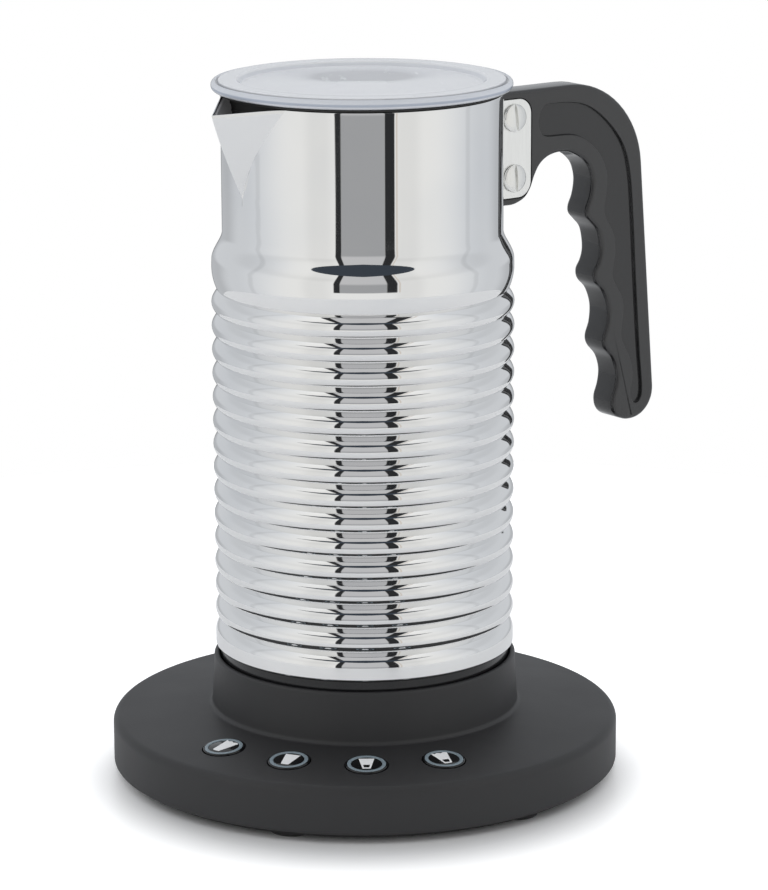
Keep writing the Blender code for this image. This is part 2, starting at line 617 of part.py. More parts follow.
def inner_cup(jug_axis):
    """Coated wall that holds the milk, pulled out into the spout, and the dished floor under it."""
    inner = CUP_RADIUS - CUP_WALL
    outline = [(CUP_RADIUS, z) for z in cup_rows()]
    outline += [(inner, z) for z in reversed(cup_rows())]
    turned("inner_cup", outline, "cup_coating", steps=JUG_STEPS, start=SPOUT_AZIMUTH,
           reshape=spout_puller(0.92), parent=jug_axis)
    outline = [(0, CUP_BOTTOM)]
    outline += arc((CUP_RADIUS - CUP_CORNER, CUP_BOTTOM + CUP_CORNER), CUP_CORNER, -90, 0, 3)
    outline += arc((CUP_RADIUS - CUP_CORNER, CUP_BOTTOM + CUP_CORNER), CUP_CORNER - CUP_WALL, 0, -90, 3)
    outline += [(0, CUP_BOTTOM + CUP_WALL)]
    turned("cup_floor", outline, "cup_coating", steps=JUG_STEPS, start=SPOUT_AZIMUTH, parent=jug_axis)


def jug_foot(jug_axis):
    """Skirt that stands in the base's recess, and the heating disc behind it."""
    skirt_bottom = SEAT_TOP + GAP
    ledge = skirt_bottom + 1.1 * MM
    ledge_edge = 30 * MM
    edge_break = 0.6 * MM
    top = JUG_BOTTOM - GAP
    bore = CUP_RADIUS + GAP
    outline = [(ledge_edge, skirt_bottom), (SKIRT_RADIUS - edge_break, skirt_bottom),
               (SKIRT_RADIUS, skirt_bottom + edge_break), (SKIRT_RADIUS, top),
               (bore, top), (bore, ledge), (ledge_edge, ledge)]
    turned("jug_skirt", outline, "plain_black", steps=JUG_STEPS, parent=jug_axis)
    low = ledge + GAP
    high = CUP_BOTTOM - GAP
    edge = 34 * MM
    turned("heating_disc", [(0, low), (edge, low), (edge, high), (0, high)], "plain_steel",
           steps=32, parent=jug_axis)


def whisk_spindle(jug_axis):
    """Fixed pin in the middle of the cup's floor that the whisk turns on."""
    floor = CUP_BOTTOM + CUP_WALL + GAP
    flange = 5 * MM
    tip = 40.3 * MM
    tip_break = 0.8 * MM
    outline = [(0, floor), (flange, floor), (flange, floor + 0.8 * MM), (SPINDLE_RADIUS, floor + 1.2 * MM),
               (SPINDLE_RADIUS, tip - tip_break), (SPINDLE_RADIUS - tip_break, tip), (0, tip)]
    turned("whisk_spindle", outline, "plain_steel", steps=20, parent=jug_axis)


def jug():
    """Everything that lifts off the base in one piece."""
    jug_axis = axis_empty("jug_axis")
    turned("jug_shell", jug_shell_outline(), "mirror_steel", steps=JUG_STEPS, start=SPOUT_AZIMUTH,
           reshape=spout_puller(1.0), parent=jug_axis)
    inner_cup(jug_axis)
    jug_foot(jug_axis)
    whisk_spindle(jug_axis)
    handle_group(jug_axis)


# ---- handle ------------------------------------------------------------------------------
def cheek_outline(margin):
    """Side view of a bracket cheek, grown by margin: rounded at its outer end."""
    inner = NECK_RADIUS - 6 * MM
    corner = 4.5 * MM + margin
    return filleted([(inner, CHEEK_BOTTOM - margin, 0), (CHEEK_END + margin, CHEEK_BOTTOM - margin, corner),
                     (CHEEK_END + margin, CHEEK_TOP + margin, corner), (inner, CHEEK_TOP + margin, 0)])


def grip_curve():
    """Finger scallops down the inner side of the grip, from the top ridge to the bottom one."""
    points = []
    per_scallop = 8
    for step in range(GRIP_SCALLOPS * per_scallop + 1):
        along = step / (GRIP_SCALLOPS * per_scallop)
        within = (step % per_scallop) / per_scallop
        depth = GRIP_DEPTH * math.sin(math.pi * within ** 0.8)
        x = GRIP_RIDGE_TOP[0] + (GRIP_RIDGE_BOTTOM[0] - GRIP_RIDGE_TOP[0]) * along
        z = GRIP_RIDGE_TOP[1] + (GRIP_RIDGE_BOTTOM[1] - GRIP_RIDGE_TOP[1]) * along
        points.append((x + depth, z, 0))
    return points


def handle_outline():
    """Side view of the handle: lobe at the bracket, arch, scalloped grip, rounded end, outer edge."""
    corners = [(HANDLE_ROOT, LOBE_BOTTOM, 0), (57.4 * MM, LOBE_BOTTOM, 5.5 * MM),
               (58.8 * MM, ARCH_TOP, 6.5 * MM), (81.5 * MM, ARCH_TOP, 9 * MM)]
    corners += grip_curve()
    corners += [(86.8 * MM, 88.2 * MM, 3.5 * MM), (105.2 * MM, 87.2 * MM, 8.5 * MM),
                (96.8 * MM, HANDLE_TOP, 27 * MM), (HANDLE_ROOT, HANDLE_TOP, 0)]
    return filleted(corners, steps=6)


def bracket(plane):
    """Folded bracket: a web against the neck and two cheeks with rounded corners."""
    half = HANDLE_HALF_WIDTH
    web = NECK_RADIUS + GAP
    lean = math.degrees(math.asin(half / web))
    fold = half - CHEEK_THICKNESS
    outline = arc((0, 0), web, lean, -lean, 4)
    outline += [(CHEEK_END, -half), (CHEEK_END, -fold), (web + CHEEK_THICKNESS, -fold),
                (web + CHEEK_THICKNESS, fold), (CHEEK_END, fold), (CHEEK_END, half)]
    sheet = prism("handle_bracket", outline, CHEEK_BOTTOM, CHEEK_TOP, "plain_steel", parent=plane)
    guide = prism("cheek_guide", cheek_outline(0), -2 * half, 2 * half, "plain_black", plane="XZ",
                  parent=plane)
    combine(sheet, guide, "INTERSECT")
    return sheet


def grip(plane):
    """Handle with a shallow pocket on each side for the bracket's cheeks."""
    half = HANDLE_HALF_WIDTH
    handle = prism("handle", handle_outline(), -half, half, "handle_black", plane="XZ", parent=plane)
    tongue = half - CHEEK_THICKNESS - GAP
    for side, (low, high) in {"front": (-2 * half, -tongue), "rear": (tongue, 2 * half)}.items():
        pocket = prism(f"pocket_{side}", cheek_outline(GAP), low, high, "plain_black", plane="XZ",
                       parent=plane)
        combine(handle, pocket, "DIFFERENCE")
    return handle


def handle_screw(label, spot):
    """Slotted screw across the handle."""
    seat = HANDLE_HALF_WIDTH + SCREW_SEAT_GAP
    outline = [(0, -SCREW_SHANK_END), (SCREW_SHANK, -SCREW_SHANK_END), (SCREW_SHANK, seat),
               (SCREW_HEAD, seat), (SCREW_HEAD, seat + 0.4 * MM), (0.65 * SCREW_HEAD, seat + 1.0 * MM),
               (0, seat + SCREW_HEAD_HEIGHT)]
    screw = turned(f"handle_screw_{label}", outline, "plain_steel", steps=24, **spot)
    wide = SCREW_SLOT / 2
    long = 1.5 * SCREW_HEAD
    slot = prism(f"slot_{label}", [(-wide, -long), (wide, -long), (wide, long), (-wide, long)],
                 seat + 0.45 * MM, seat + 3 * MM, "plain_black", **spot)
    combine(screw, slot, "DIFFERENCE")


def handle_nut(label, spot):
    """Domed nut on the far side of the handle."""
    seat = -HANDLE_HALF_WIDTH - SCREW_SEAT_GAP
    outline = [(0, seat - 0.9 * MM), (NUT_BORE, seat - 0.9 * MM), (NUT_BORE, seat), (SCREW_HEAD, seat),
               (SCREW_HEAD, seat - 0.5 * MM), (0.7 * SCREW_HEAD, seat - 1.3 * MM), (0, seat - NUT_HEIGHT)]
    turned(f"handle_nut_{label}", outline, "plain_steel", steps=24, **spot)


def handle_group(jug_axis):
    """Bracket, handle and its two screws, in the plane that stands radially on the jug."""
    plane = axis_empty("handle_plane", parent=jug_axis, rotation=(0, 0, HANDLE_AZIMUTH))
    sheet = bracket(plane)
    handle = grip(plane)
    length = 2 * HANDLE_HALF_WIDTH
    outline = [(0, -length), (SCREW_HOLE, -length), (SCREW_HOLE, length), (0, length)]
    for label, height in zip(("upper", "lower"), HANDLE_SCREW_HEIGHTS):
        spot = {"parent": plane, "location": (HANDLE_SCREW_DISTANCE, 0, height),
                "rotation": (math.pi / 2, 0, 0)}
        drill = turned(f"drill_{label}", outline, "plain_black", steps=12, **spot)
        combine(sheet, drill, "DIFFERENCE")
        combine(handle, drill, "DIFFERENCE")
        handle_screw(label, spot)
        handle_nut(label, spot)


# ---- whisk and lid -----------------------------------------------------------------------
def whisk_hub(whisk_axis):
    """Magnetic hub that turns on the spindle."""
    bottom = HUB_UNDERSIDE
    bore = SPINDLE_RADIUS + HUB_BORE_PLAY
    chamfer = 0.4 * MM
    outline = [(0, HUB_BORE_TOP), (bore, HUB_BORE_TOP), (bore, HUB_BORE_BOTTOM),
               (HUB_MOUTH_RADIUS, HUB_MOUTH_TOP), (HUB_MOUTH_RADIUS, bottom),
               (HUB_FLANGE_RADIUS - chamfer, bottom), (HUB_FLANGE_RADIUS, bottom + chamfer),
               (HUB_FLANGE_RADIUS, HUB_FLANGE_TOP), (HUB_NECK_RADIUS + 1 * MM, HUB_FLANGE_TOP + 1.6 * MM),
               (HUB_NECK_RADIUS, HUB_FLANGE_TOP + 2.8 * MM), (HUB_NECK_RADIUS, HUB_TOP), (0, HUB_TOP)]
    hub = turned("whisk_hub", outline, "gloss_black", steps=32, parent=whisk_axis)
    places = [(HUB_MAGNET_CIRCLE, 0), (-HUB_MAGNET_CIRCLE, 0)]
    low = bottom + 0.1 * MM
    high = low + HUB_MAGNET_HEIGHT
    pockets = rods("hub_pockets", HUB_MAGNET_RADIUS + GAP, bottom - GAP, high + GAP, places, 16)
    combine(hub, pockets, "DIFFERENCE")
    outline = [(0, low), (HUB_MAGNET_RADIUS, low), (HUB_MAGNET_RADIUS, high), (0, high)]
    for index, (x, y) in enumerate(places):
        turned(f"whisk_magnet_{index + 1}", outline, "plain_steel", steps=16, parent=whisk_axis,
               location=(x, y, 0))


def whisk_frame(whisk_axis):
    """Ring of the whisk on two crossed arms, with the cap that pulls off the hub."""
    low = HUB_TOP + GAP
    high = low + FRAME_CAP_HEIGHT
    ring = [(WHISK_RING_RADIUS + x, WHISK_RING_HEIGHT + z) for x, z in arc((0, 0), FRAME_SECTION, 0, 300, 5)]
    frame = turned("whisk_frame", ring, "plain_steel", steps=32, parent=whisk_axis)
    outline = [(0, low), (FRAME_CAP_RADIUS, low), (FRAME_CAP_RADIUS, high), (0, high)]
    cap = turned("frame_cap", outline, "plain_black", steps=20, parent=whisk_axis)
    combine(frame, cap, "UNION")
    half = FRAME_ARM_HALF
    arm = [(-half, low + FRAME_ARM_LOW), (half, low + FRAME_ARM_LOW), (half, low + FRAME_ARM_HIGH),
           (-half, low + FRAME_ARM_HIGH)]
    for index in range(2):
        turn = FRAME_ARM_TURN + index * math.pi / 2
        bar = prism(f"frame_arm_{index + 1}", arm, -WHISK_RING_RADIUS, WHISK_RING_RADIUS, "plain_steel",
                    plane="XZ", parent=whisk_axis, rotation=(0, 0, turn))
        combine(frame, bar, "UNION")


def whisk():
    """Hub and frame on the whisk's axis."""
    whisk_axis = axis_empty("whisk_axis")
    whisk_hub(whisk_axis)
    whisk_frame(whisk_axis)


def lid():
    """Clear lid with a rounded edge and a plug that carries the seal."""
    lid_axis = axis_empty("lid_axis")
    edge = (LID_RADIUS - LID_EDGE_RADIUS, (LID_TOP + LID_BOTTOM) / 2)
    plug_inner = PLUG_RADIUS - PLUG_WALL
    outline = [(0, LID_PLATE_TOP), (LID_RECESS_RADIUS - 1 * MM, LID_PLATE_TOP),
               (LID_RECESS_RADIUS, LID_TOP - 0.5 * MM), (LID_RECESS_RADIUS + 1.2 * MM, LID_TOP)]
    outline += arc(edge, LID_EDGE_RADIUS, 90, -90, 6)
    outline += [(PLUG_RADIUS, LID_BOTTOM), (PLUG_RADIUS, PLUG_BOTTOM), (plug_inner, PLUG_BOTTOM),
                (plug_inner, LID_BOTTOM), (0, LID_BOTTOM)]
    turned("lid_cap", outline, "clear_plastic", steps=JUG_STEPS, parent=lid_axis)
    inner = PLUG_RADIUS + SEAL_GAP
    outer = inner + SEAL_THICKNESS
    low = JUG_RIM + SEAL_GAP
    high = LID_BOTTOM - SEAL_GAP
    outline = [(inner, SEAL_BOTTOM), (outer, SEAL_BOTTOM + 0.4 * MM), (outer, low),
               (SEAL_FLANGE_RADIUS, low), (SEAL_FLANGE_RADIUS, high), (inner, high)]
    turned("lid_seal", outline, "dark_rubber", steps=JUG_STEPS, parent=lid_axis)


base_cover()
jug_seat()
base_bottom()
feet()
base_screws()
cord_outlet()
heater()
motor_and_drive()
electronics()
buttons()
jug()
whisk()
lid()
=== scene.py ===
# %% [markdown]
# # Milk frother
# An electric milk frother: a ribbed, mirror-polished jug stands in the collar of a round black
# base that heats it and spins a magnetic whisk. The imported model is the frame: it fixes every
# place and size, and this script builds the fine surfaces and finishes round it.

# %% Load the frame
import math

import bmesh
import bpy
from mathutils import Matrix, Vector


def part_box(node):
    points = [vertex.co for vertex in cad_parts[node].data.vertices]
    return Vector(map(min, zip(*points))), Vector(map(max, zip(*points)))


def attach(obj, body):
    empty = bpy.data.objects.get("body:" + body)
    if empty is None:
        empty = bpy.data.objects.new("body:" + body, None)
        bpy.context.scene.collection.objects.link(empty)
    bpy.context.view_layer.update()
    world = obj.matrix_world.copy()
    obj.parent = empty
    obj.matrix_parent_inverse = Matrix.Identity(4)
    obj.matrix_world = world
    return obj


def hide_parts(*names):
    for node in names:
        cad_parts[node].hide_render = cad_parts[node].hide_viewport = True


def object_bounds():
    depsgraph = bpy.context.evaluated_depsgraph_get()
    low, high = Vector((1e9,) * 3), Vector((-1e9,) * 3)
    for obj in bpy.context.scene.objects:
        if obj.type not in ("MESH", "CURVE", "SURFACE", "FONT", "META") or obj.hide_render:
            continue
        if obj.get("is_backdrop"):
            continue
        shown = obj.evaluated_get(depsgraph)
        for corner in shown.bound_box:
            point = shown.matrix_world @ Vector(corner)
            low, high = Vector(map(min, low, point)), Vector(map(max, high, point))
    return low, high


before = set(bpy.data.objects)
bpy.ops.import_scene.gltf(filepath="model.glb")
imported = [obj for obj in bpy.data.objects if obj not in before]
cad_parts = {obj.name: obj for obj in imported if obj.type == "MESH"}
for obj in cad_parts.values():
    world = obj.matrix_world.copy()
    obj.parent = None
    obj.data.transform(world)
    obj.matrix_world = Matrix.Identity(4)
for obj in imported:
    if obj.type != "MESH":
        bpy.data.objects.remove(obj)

cad_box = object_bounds()

# %% [markdown]
# Lengths below are in millimetres, because a kitchen appliance is drawn in them. One constant
# turns them into metres when a mesh is finished.

# %% Sizes read from the frame
MM = 0.001


def low(node):
    """Height of a node's underside."""
    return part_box(node)[0].z / MM


def high(node):
    """Height of a node's top."""
    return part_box(node)[1].z / MM


BASE_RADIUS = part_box("base_cover")[1].x / MM
COLLAR_TOP = high("base_cover")
SEAT_TOP = high("jug_seat")
JUG_BOTTOM = low("jug_shell")
JUG_RIM = high("jug_shell")
SEAL_GAP = 0.2                     # room kept round the lid's seal
LID_BOTTOM = high("lid_seal") + SEAL_GAP
LID_TOP = high("lid_cap")
PLUG_BOTTOM = low("lid_cap")
LID_RADIUS = 41.75
RECESS_RADIUS = 34.2
HANDLE_TURN = Matrix.Rotation(math.radians(36.5), 4, "Z")
HANDLE_ACROSS = HANDLE_TURN @ Vector((0, 1, 0))
HANDLE_HALF = 4.8
print(f"base radius {BASE_RADIUS:.1f}, jug from {JUG_BOTTOM:.1f} to {JUG_RIM:.1f}, lid top {LID_TOP:.1f}")

# %% [markdown]
# The camera looks down a little on the front of the object from about a metre away, with a long
# lens, as a product is usually shown. Its axes are built from three angles, so that a small roll
# is easy to set.

# %% Camera
CAMERA_PLACE = Vector((-0.00655, -1.0216, 0.34155))
PITCH_DOWN = 0.23839
YAW = 0.01202
ROLL = -0.00348
FOCAL_LENGTH = 150.7
SENSOR_WIDTH = 36.0

camera_data = bpy.data.cameras.new("camera")
camera_data.lens = FOCAL_LENGTH
camera_data.sensor_width = SENSOR_WIDTH
camera = bpy.data.objects.new("camera", camera_data)
bpy.context.scene.collection.objects.link(camera)
forward = Vector((math.sin(YAW) * math.cos(PITCH_DOWN), math.cos(YAW) * math.cos(PITCH_DOWN),
                  -math.sin(PITCH_DOWN)))
right = Vector((math.cos(YAW), -math.sin(YAW), 0.0))
up = right.cross(forward)
rolled_right = right * math.cos(ROLL) + up * math.sin(ROLL)
rolled_up = up * math.cos(ROLL) - right * math.sin(ROLL)
turn = Matrix((rolled_right, rolled_up, -forward)).transposed().to_4x4()
camera.matrix_world = Matrix.Translation(CAMERA_PLACE) @ turn
bpy.context.scene.camera = camera
bpy.context.scene.view_settings.view_transform = "Standard"
print("camera at", [round(value, 3) for value in CAMERA_PLACE])

# %% [markdown]
# A finish is a tree of nodes. To keep its maths readable, a small class wraps a node's output so
# that `1 - mask * 0.5` adds the Math nodes by itself. Every other node comes from one method that
# sets its settings first and then fills or links its sockets.

# %% Node trees as expressions
class Value:
    """One output of a node, which Python's operators turn into more nodes."""

    def __init__(self, graph, socket):
        self.graph = graph
        self.socket = socket

    def math(self, operation, *others):
        return self.graph.add("Math", dict(enumerate((self, *others))), operation=operation)

    def __add__(self, other):
        return self.math("ADD", other)

    def __mul__(self, other):
        return self.math("MULTIPLY", other)

    def __sub__(self, other):
        return self.math("SUBTRACT", other)

    def __rsub__(self, other):
        return self.graph.add("Math", {0: other, 1: self}, operation="SUBTRACT")

    __radd__ = __add__
    __rmul__ = __mul__

    def output(self, index):
        """Another output of the same node."""
        return Value(self.graph, self.socket.node.outputs[index])

    def rises(self, start, end):
        """0 below start, 1 above end, smooth between."""
        return self.graph.add("MapRange", {"Value": self, "From Min": start, "From Max": end},
                              interpolation_type="SMOOTHSTEP")

    def within(self, start, end, soft):
        """1 between start and end, 0 outside, with soft borders."""
        return self.rises(start - soft, start + soft) * (1 - self.rises(end - soft, end + soft))


class Graph:
    """A node tree that starts empty."""

    def __init__(self, tree):
        self.tree = tree
        tree.nodes.clear()

    def add(self, kind, sockets=None, output=0, **settings):
        node = self.tree.nodes.new("ShaderNode" + kind)
        for name, setting in settings.items():
            setattr(node, name, setting)
        for name, value in (sockets or {}).items():
            socket = node.inputs[name]
            if isinstance(value, Value):
                self.tree.links.new(value.socket, socket)
            elif socket.type == "RGBA":
                socket.default_value = (*value, 1.0)
            else:
                socket.default_value = value
        return Value(self, node.outputs[output]) if node.outputs else None

    def blend(self, first, second, factor):
        """From the first colour to the second as factor goes from 0 to 1."""
        return self.add("Mix", {0: factor, 6: first, 7: second}, output=2, data_type="RGBA")


# %% [markdown]
# The studio is a plain bright surround, as from a white tent, and it is what the polished jug
# mirrors. A grey panel with a dark edge on each side stands in front, and a dark bar hangs above
# it: polished metal only looks like metal when it has such dark shapes to show. They belong to
# the directions round the object, so they work for every view. The camera itself sees plain white.

# %% Studio surround
SURROUND_FRONT = 0.86
SURROUND_SIDE = 0.69
SURROUND_BACK = 0.53
PANEL_EDGE = 17.5                  # degrees either side of the front
LEFT_STRIP_END = -22.3
RIGHT_STRIP_END = 25.5
PANEL_LOW = -11.3                  # elevation, degrees
JOINT_HIGH = 47.5                  # elevation of the bar, straight ahead
JOINT_DROP = 3.2                   # how much lower the bar's ends are
JOINT_REACH = 66.0                 # azimuth of the bar's ends
JOINT_HALF = 6.8
PANEL_FADE = 0.6                   # half the width of the panel's soft lower edge
SOFT = 0.5
PANEL_BACK = (-0.35, -0.2)         # overhead, the panel ends behind the axis
PANEL_GREYS = ((0.37, 0.375, 0.385), (0.56, 0.56, 0.57))
PANEL_RISE = (-8, 12)              # elevations between its lower and its upper grey
BEAM_START = 1.2                   # the warm line, measured from the right strip's end
BEAM_END = 2.4
BEAM_COLOUR = (0.66, 0.60, 0.54)
DARK_STRIP = (0.028, 0.029, 0.031)
SLATE_BAR = (0.045, 0.055, 0.07)
SIDE_FADE = (60, 115)              # azimuths between front and side brightness
TINT_FADE = (50, 105)
BACK_FADE = (120, 146)
BEHIND = (164, 174)
BEHIND_DEPTH = 0.30
FOLDS = ((26, 46, 6, 0.07), (92, 97, 1.5, 0.08))    # azimuths, softness and depth of dim folds
HORIZON = (-5, 3)
OVERHEAD = (35, 75)
OVERHEAD_GAIN = 0.12
CORNICE = (20, 33, 5, 0.05)        # elevations, softness and depth
WARM_WHITE = (1.0, 1.0, 0.985)
COOL_WHITE = (0.93, 0.96, 1.0)
DIFFUSE_GAIN = 0.5               # extra light on diffuse surfaces


def surround(graph, away, elevation):
    """The white tent: bright in front and overhead, cooler and dimmer towards the sides and back."""
    level = SURROUND_FRONT - away.rises(*SIDE_FADE) * (SURROUND_FRONT - SURROUND_SIDE)
    below = 1 - elevation.rises(*HORIZON)
    level = level - away.rises(*BACK_FADE) * below * (SURROUND_SIDE - SURROUND_BACK)
    for *band, depth in FOLDS:
        level = level - away.within(*band) * depth
    level = level + elevation.rises(*OVERHEAD) * OVERHEAD_GAIN - away.rises(*BEHIND) * below * BEHIND_DEPTH
    *band, depth = CORNICE
    level = level - elevation.within(*band) * depth
    tint = graph.blend(WARM_WHITE, COOL_WHITE, away.rises(*TINT_FADE))
    return graph.add("VectorMath", {0: tint, "Scale": level}, operation="SCALE")


def studio():
    world = bpy.data.worlds.new("studio")
    world.use_nodes = True
    bpy.context.scene.world = world
    graph = Graph(world.node_tree)
    x = graph.add("SeparateXYZ", {0: graph.add("TexCoord")})
    ahead = x.output(1) * -1
    z = x.output(2)
    away = x.math("ARCTAN2", ahead).math("ABSOLUTE") * math.degrees(1)
    elevation = z.math("ARCSINE") * math.degrees(1)
    # The panel and its strips run up a wall and then on overhead, so they stay equally wide.
    overhead = z * (1 / math.tan(math.radians(JOINT_HIGH)))
    distance = ahead.math("MAXIMUM", overhead).math("MAXIMUM", 0.001)
    across = x.math("ARCTAN2", distance) * math.degrees(1)
    lit = elevation.rises(PANEL_LOW - PANEL_FADE, PANEL_LOW + PANEL_FADE) * ahead.rises(*PANEL_BACK)
    grey = graph.blend(*PANEL_GREYS, elevation.rises(*PANEL_RISE))
    panel = across.within(-PANEL_EDGE, PANEL_EDGE, SOFT) * lit
    mixed = graph.blend(surround(graph, away, elevation), grey, panel)
    left = across.within(LEFT_STRIP_END, -PANEL_EDGE, SOFT)
    right = across.within(PANEL_EDGE, RIGHT_STRIP_END, SOFT)
    mixed = graph.blend(mixed, DARK_STRIP, (left + right) * lit)
    beam = across.within(RIGHT_STRIP_END + BEAM_START, RIGHT_STRIP_END + BEAM_END, SOFT) * lit
    mixed = graph.blend(mixed, BEAM_COLOUR, beam)
    reach = away * (1 / JOINT_REACH)
    middle = JOINT_HIGH - reach * reach * JOINT_DROP
    bar = (elevation - middle).math("ABSOLUTE").math("LESS_THAN", (1 - reach) * JOINT_HALF)
    mixed = graph.blend(mixed, SLATE_BAR, bar)
    rays = graph.add("LightPath")
    light = graph.add("Background", {"Color": mixed, "Strength": 1 + rays.output(2) * DIFFUSE_GAIN})
    plain = graph.add("Background", {"Color": (1.0, 1.0, 1.0), "Strength": 1.0})
    shown = graph.add("MixShader", {0: rays, 1: light, 2: plain})
    graph.add("OutputWorld", {"Surface": shown})


studio()
print("studio surround made")


# %% [markdown]
# A finish on a piece starts from the point on the piece, so grain and wear sit still when the
# piece moves. Constant values go straight to the shader; only what varies over the surface comes
# from nodes.

# %% Finishes: the common base
class Finish(Graph):
    """One material under construction."""

    def __init__(self, name):
        self.material = bpy.data.materials.new(name)
        self.material.use_nodes = True
        super().__init__(self.material.node_tree)

    def place(self):
        """The point on the piece, in metres."""
        return self.add("TexCoord", output=3)

    def cylindrical(self, shift=0.0):
        """Distance from the piece's axis, moved back by shift, and height, in millimetres."""
        x = self.add("SeparateXYZ", {0: self.place()})
        y = x.output(1) + shift * MM
        return (x * x + y * y).math("SQRT") * (1 / MM), x.output(2) * (1 / MM)

    def noise(self, size, detail=2.0, stretch=(1.0, 1.0, 1.0)):
        """Cloudy noise whose lumps are about size millimetres, stretched along an axis."""
        spot = self.add("VectorMath", {0: self.place(), 1: stretch}, operation="MULTIPLY")
        return self.add("TexNoise", {"Vector": spot, "Scale": 1 / (size * MM), "Detail": detail})

    def grains(self, size):
        """Distance to the nearest of many scattered points, for specks and stipple."""
        return self.add("TexVoronoi", {"Vector": self.place(), "Scale": 1 / (size * MM)})

    def relief(self, height, depth, strength=1.0):
        """Normals of a surface raised by height times depth millimetres."""
        return self.add("Bump", {"Height": height, "Distance": depth * MM, "Strength": strength})

    def shade(self, **sockets):
        """The shader: socket names are written with _ for a space."""
        named = {name.replace("_", " "): value for name, value in sockets.items()}
        shader = self.add("BsdfPrincipled", named)
        self.add("OutputMaterial", {"Surface": shader})
        return self.material


# %% [markdown]
# Mirror-polished steel has almost no colour of its own. What makes it real is a very low but
# uneven roughness: faint wiping marks along the height and a little haze.

# %% Metals
def mirror_steel():
    finish = Finish("mirror_steel")
    wipes = finish.noise(9, 3, (1, 1, 0.18)).rises(0.45, 0.75)
    haze = finish.noise(30, 2).rises(0.4, 0.7)
    tint = finish.blend((0.875, 0.875, 0.872), (0.84, 0.845, 0.85), haze)
    return finish.shade(Base_Color=tint, Metallic=1.0, Roughness=0.022 + wipes * 0.022 + haze * 0.014)


def satin_steel(name, colour, roughness):
    """Steel brushed along its height, with small differences in gloss."""
    finish = Finish(name)
    brushing = finish.noise(0.5, 3, (1, 1, 0.06))
    patches = finish.noise(12, 2)
    darker = tuple(part * 0.96 for part in colour)
    tint = finish.blend(darker, colour, brushing.rises(0.3, 0.7))
    normal = finish.relief(brushing, 0.0015, 0.3)
    return finish.shade(Base_Color=tint, Metallic=1.0, Roughness=roughness - 0.05 + patches * 0.1,
                        Normal=normal)


STRAND = 0.9                       # pitch of the winding


def copper_winding():
    """Enamelled strands wound in rings round the axis, with painted shade in the gaps between them."""
    finish = Finish("copper_winding")
    radius = finish.cylindrical()[0]
    turns = (radius * (math.tau / STRAND)).math("SINE") * 0.5 + 0.5
    # Painted shade: the colour darkens towards the gaps between the strands, following their relief.
    tint = finish.blend((0.30, 0.10, 0.04), (0.78, 0.38, 0.20), turns)
    normal = finish.relief(turns, 0.25)
    return finish.shade(Base_Color=tint, Metallic=1.0, Roughness=0.28 + finish.noise(3) * 0.15,
                        Normal=normal)


MIRROR = mirror_steel()
BRACKET = satin_steel("bracket_steel", (0.92, 0.92, 0.90), 0.30)
FASTENER = satin_steel("fastener_steel", (0.86, 0.86, 0.84), 0.24)
WIRE = satin_steel("whisk_wire", (0.74, 0.74, 0.74), 0.20)
MOTOR_STEEL = satin_steel("motor_steel", (0.58, 0.58, 0.60), 0.32)
MAGNET = satin_steel("magnet_nickel", (0.70, 0.70, 0.73), 0.18)
COPPER = copper_winding()
print("metal finishes:", len(bpy.data.materials))


# %% [markdown]
# The base is moulded in a soft-touch black plastic: dark grey more than black, matt, with a very
# fine even grain and a trace of dust. Hard black plastics differ in gloss and in how strong
# their grain is, so they share one recipe.

# %% Plastics and rubber
def grained(name, colour, roughness, grain_size, grain_depth, specks=0.0):
    """Moulded plastic or rubber: fine grain in relief, slight clouds of gloss, a few light specks."""
    finish = Finish(name)
    grain = finish.noise(grain_size, 3)
    clouds = finish.noise(18, 2)
    dust = finish.grains(2.6).rises(0.09, 0.03) * finish.noise(7).rises(0.55, 0.7) * specks
    lighter = tuple(min(1.0, part * 1.25 + 0.002) for part in colour)
    tint = finish.blend(colour, lighter, clouds * 0.6 + dust)
    normal = finish.relief(grain, grain_depth)
    return finish.shade(Base_Color=tint, Roughness=roughness - 0.05 + clouds * 0.1 + dust * 0.1,
                        Normal=normal)


SOFT_BLACK = grained("soft_touch_black", (0.022, 0.022, 0.0235), 0.50, 0.35, 0.012, specks=0.25)
PLATE_BLACK = grained("plate_black", (0.020, 0.020, 0.021), 0.55, 0.8, 0.05)
SKIRT_BLACK = grained("skirt_black", (0.010, 0.010, 0.011), 0.16, 0.6, 0.002)
WHISK_BLACK = grained("whisk_black", (0.018, 0.018, 0.019), 0.22, 0.5, 0.004)
INNER_GREY = grained("inner_grey", (0.10, 0.10, 0.10), 0.50, 0.7, 0.03)
SWITCH_BLACK = grained("switch_black", (0.020, 0.020, 0.020), 0.35, 0.5, 0.01)
BUTTON_BLACK = grained("button_gloss", (0.006, 0.006, 0.007), 0.10, 0.8, 0.001, specks=0.1)
RUBBER = grained("rubber", (0.022, 0.022, 0.022), 0.75, 0.25, 0.03)
FERRITE = grained("ferrite", (0.050, 0.050, 0.052), 0.60, 0.4, 0.04)
RING_LIGHT = grained("button_ring", (0.20, 0.25, 0.285), 0.30, 0.4, 0.002)
SYMBOL_WHITE = grained("symbol_white", (0.80, 0.81, 0.83), 0.45, 0.2, 0.003)


def handle_plastic():
    """The handle's plastic: satin on its two sides, glossy where fingers and the mould polish it."""
    finish = Finish("handle_black")
    across = finish.add("VectorMath", {0: finish.place(), 1: HANDLE_ACROSS}, output=1,
                        operation="DOT_PRODUCT")
    sides = across.math("ABSOLUTE").rises(HANDLE_HALF * 0.88 * MM, HANDLE_HALF * 0.97 * MM)
    clouds = finish.noise(14, 2)
    grain = finish.noise(0.5, 3)
    tint = finish.blend((0.016, 0.016, 0.017), (0.030, 0.030, 0.031), sides * 0.8 + clouds * 0.2)
    return finish.shade(Base_Color=tint, Roughness=0.08 + sides * 0.25 + clouds * 0.06,
                        Specular_IOR_Level=0.65, Normal=finish.relief(grain, 0.005))


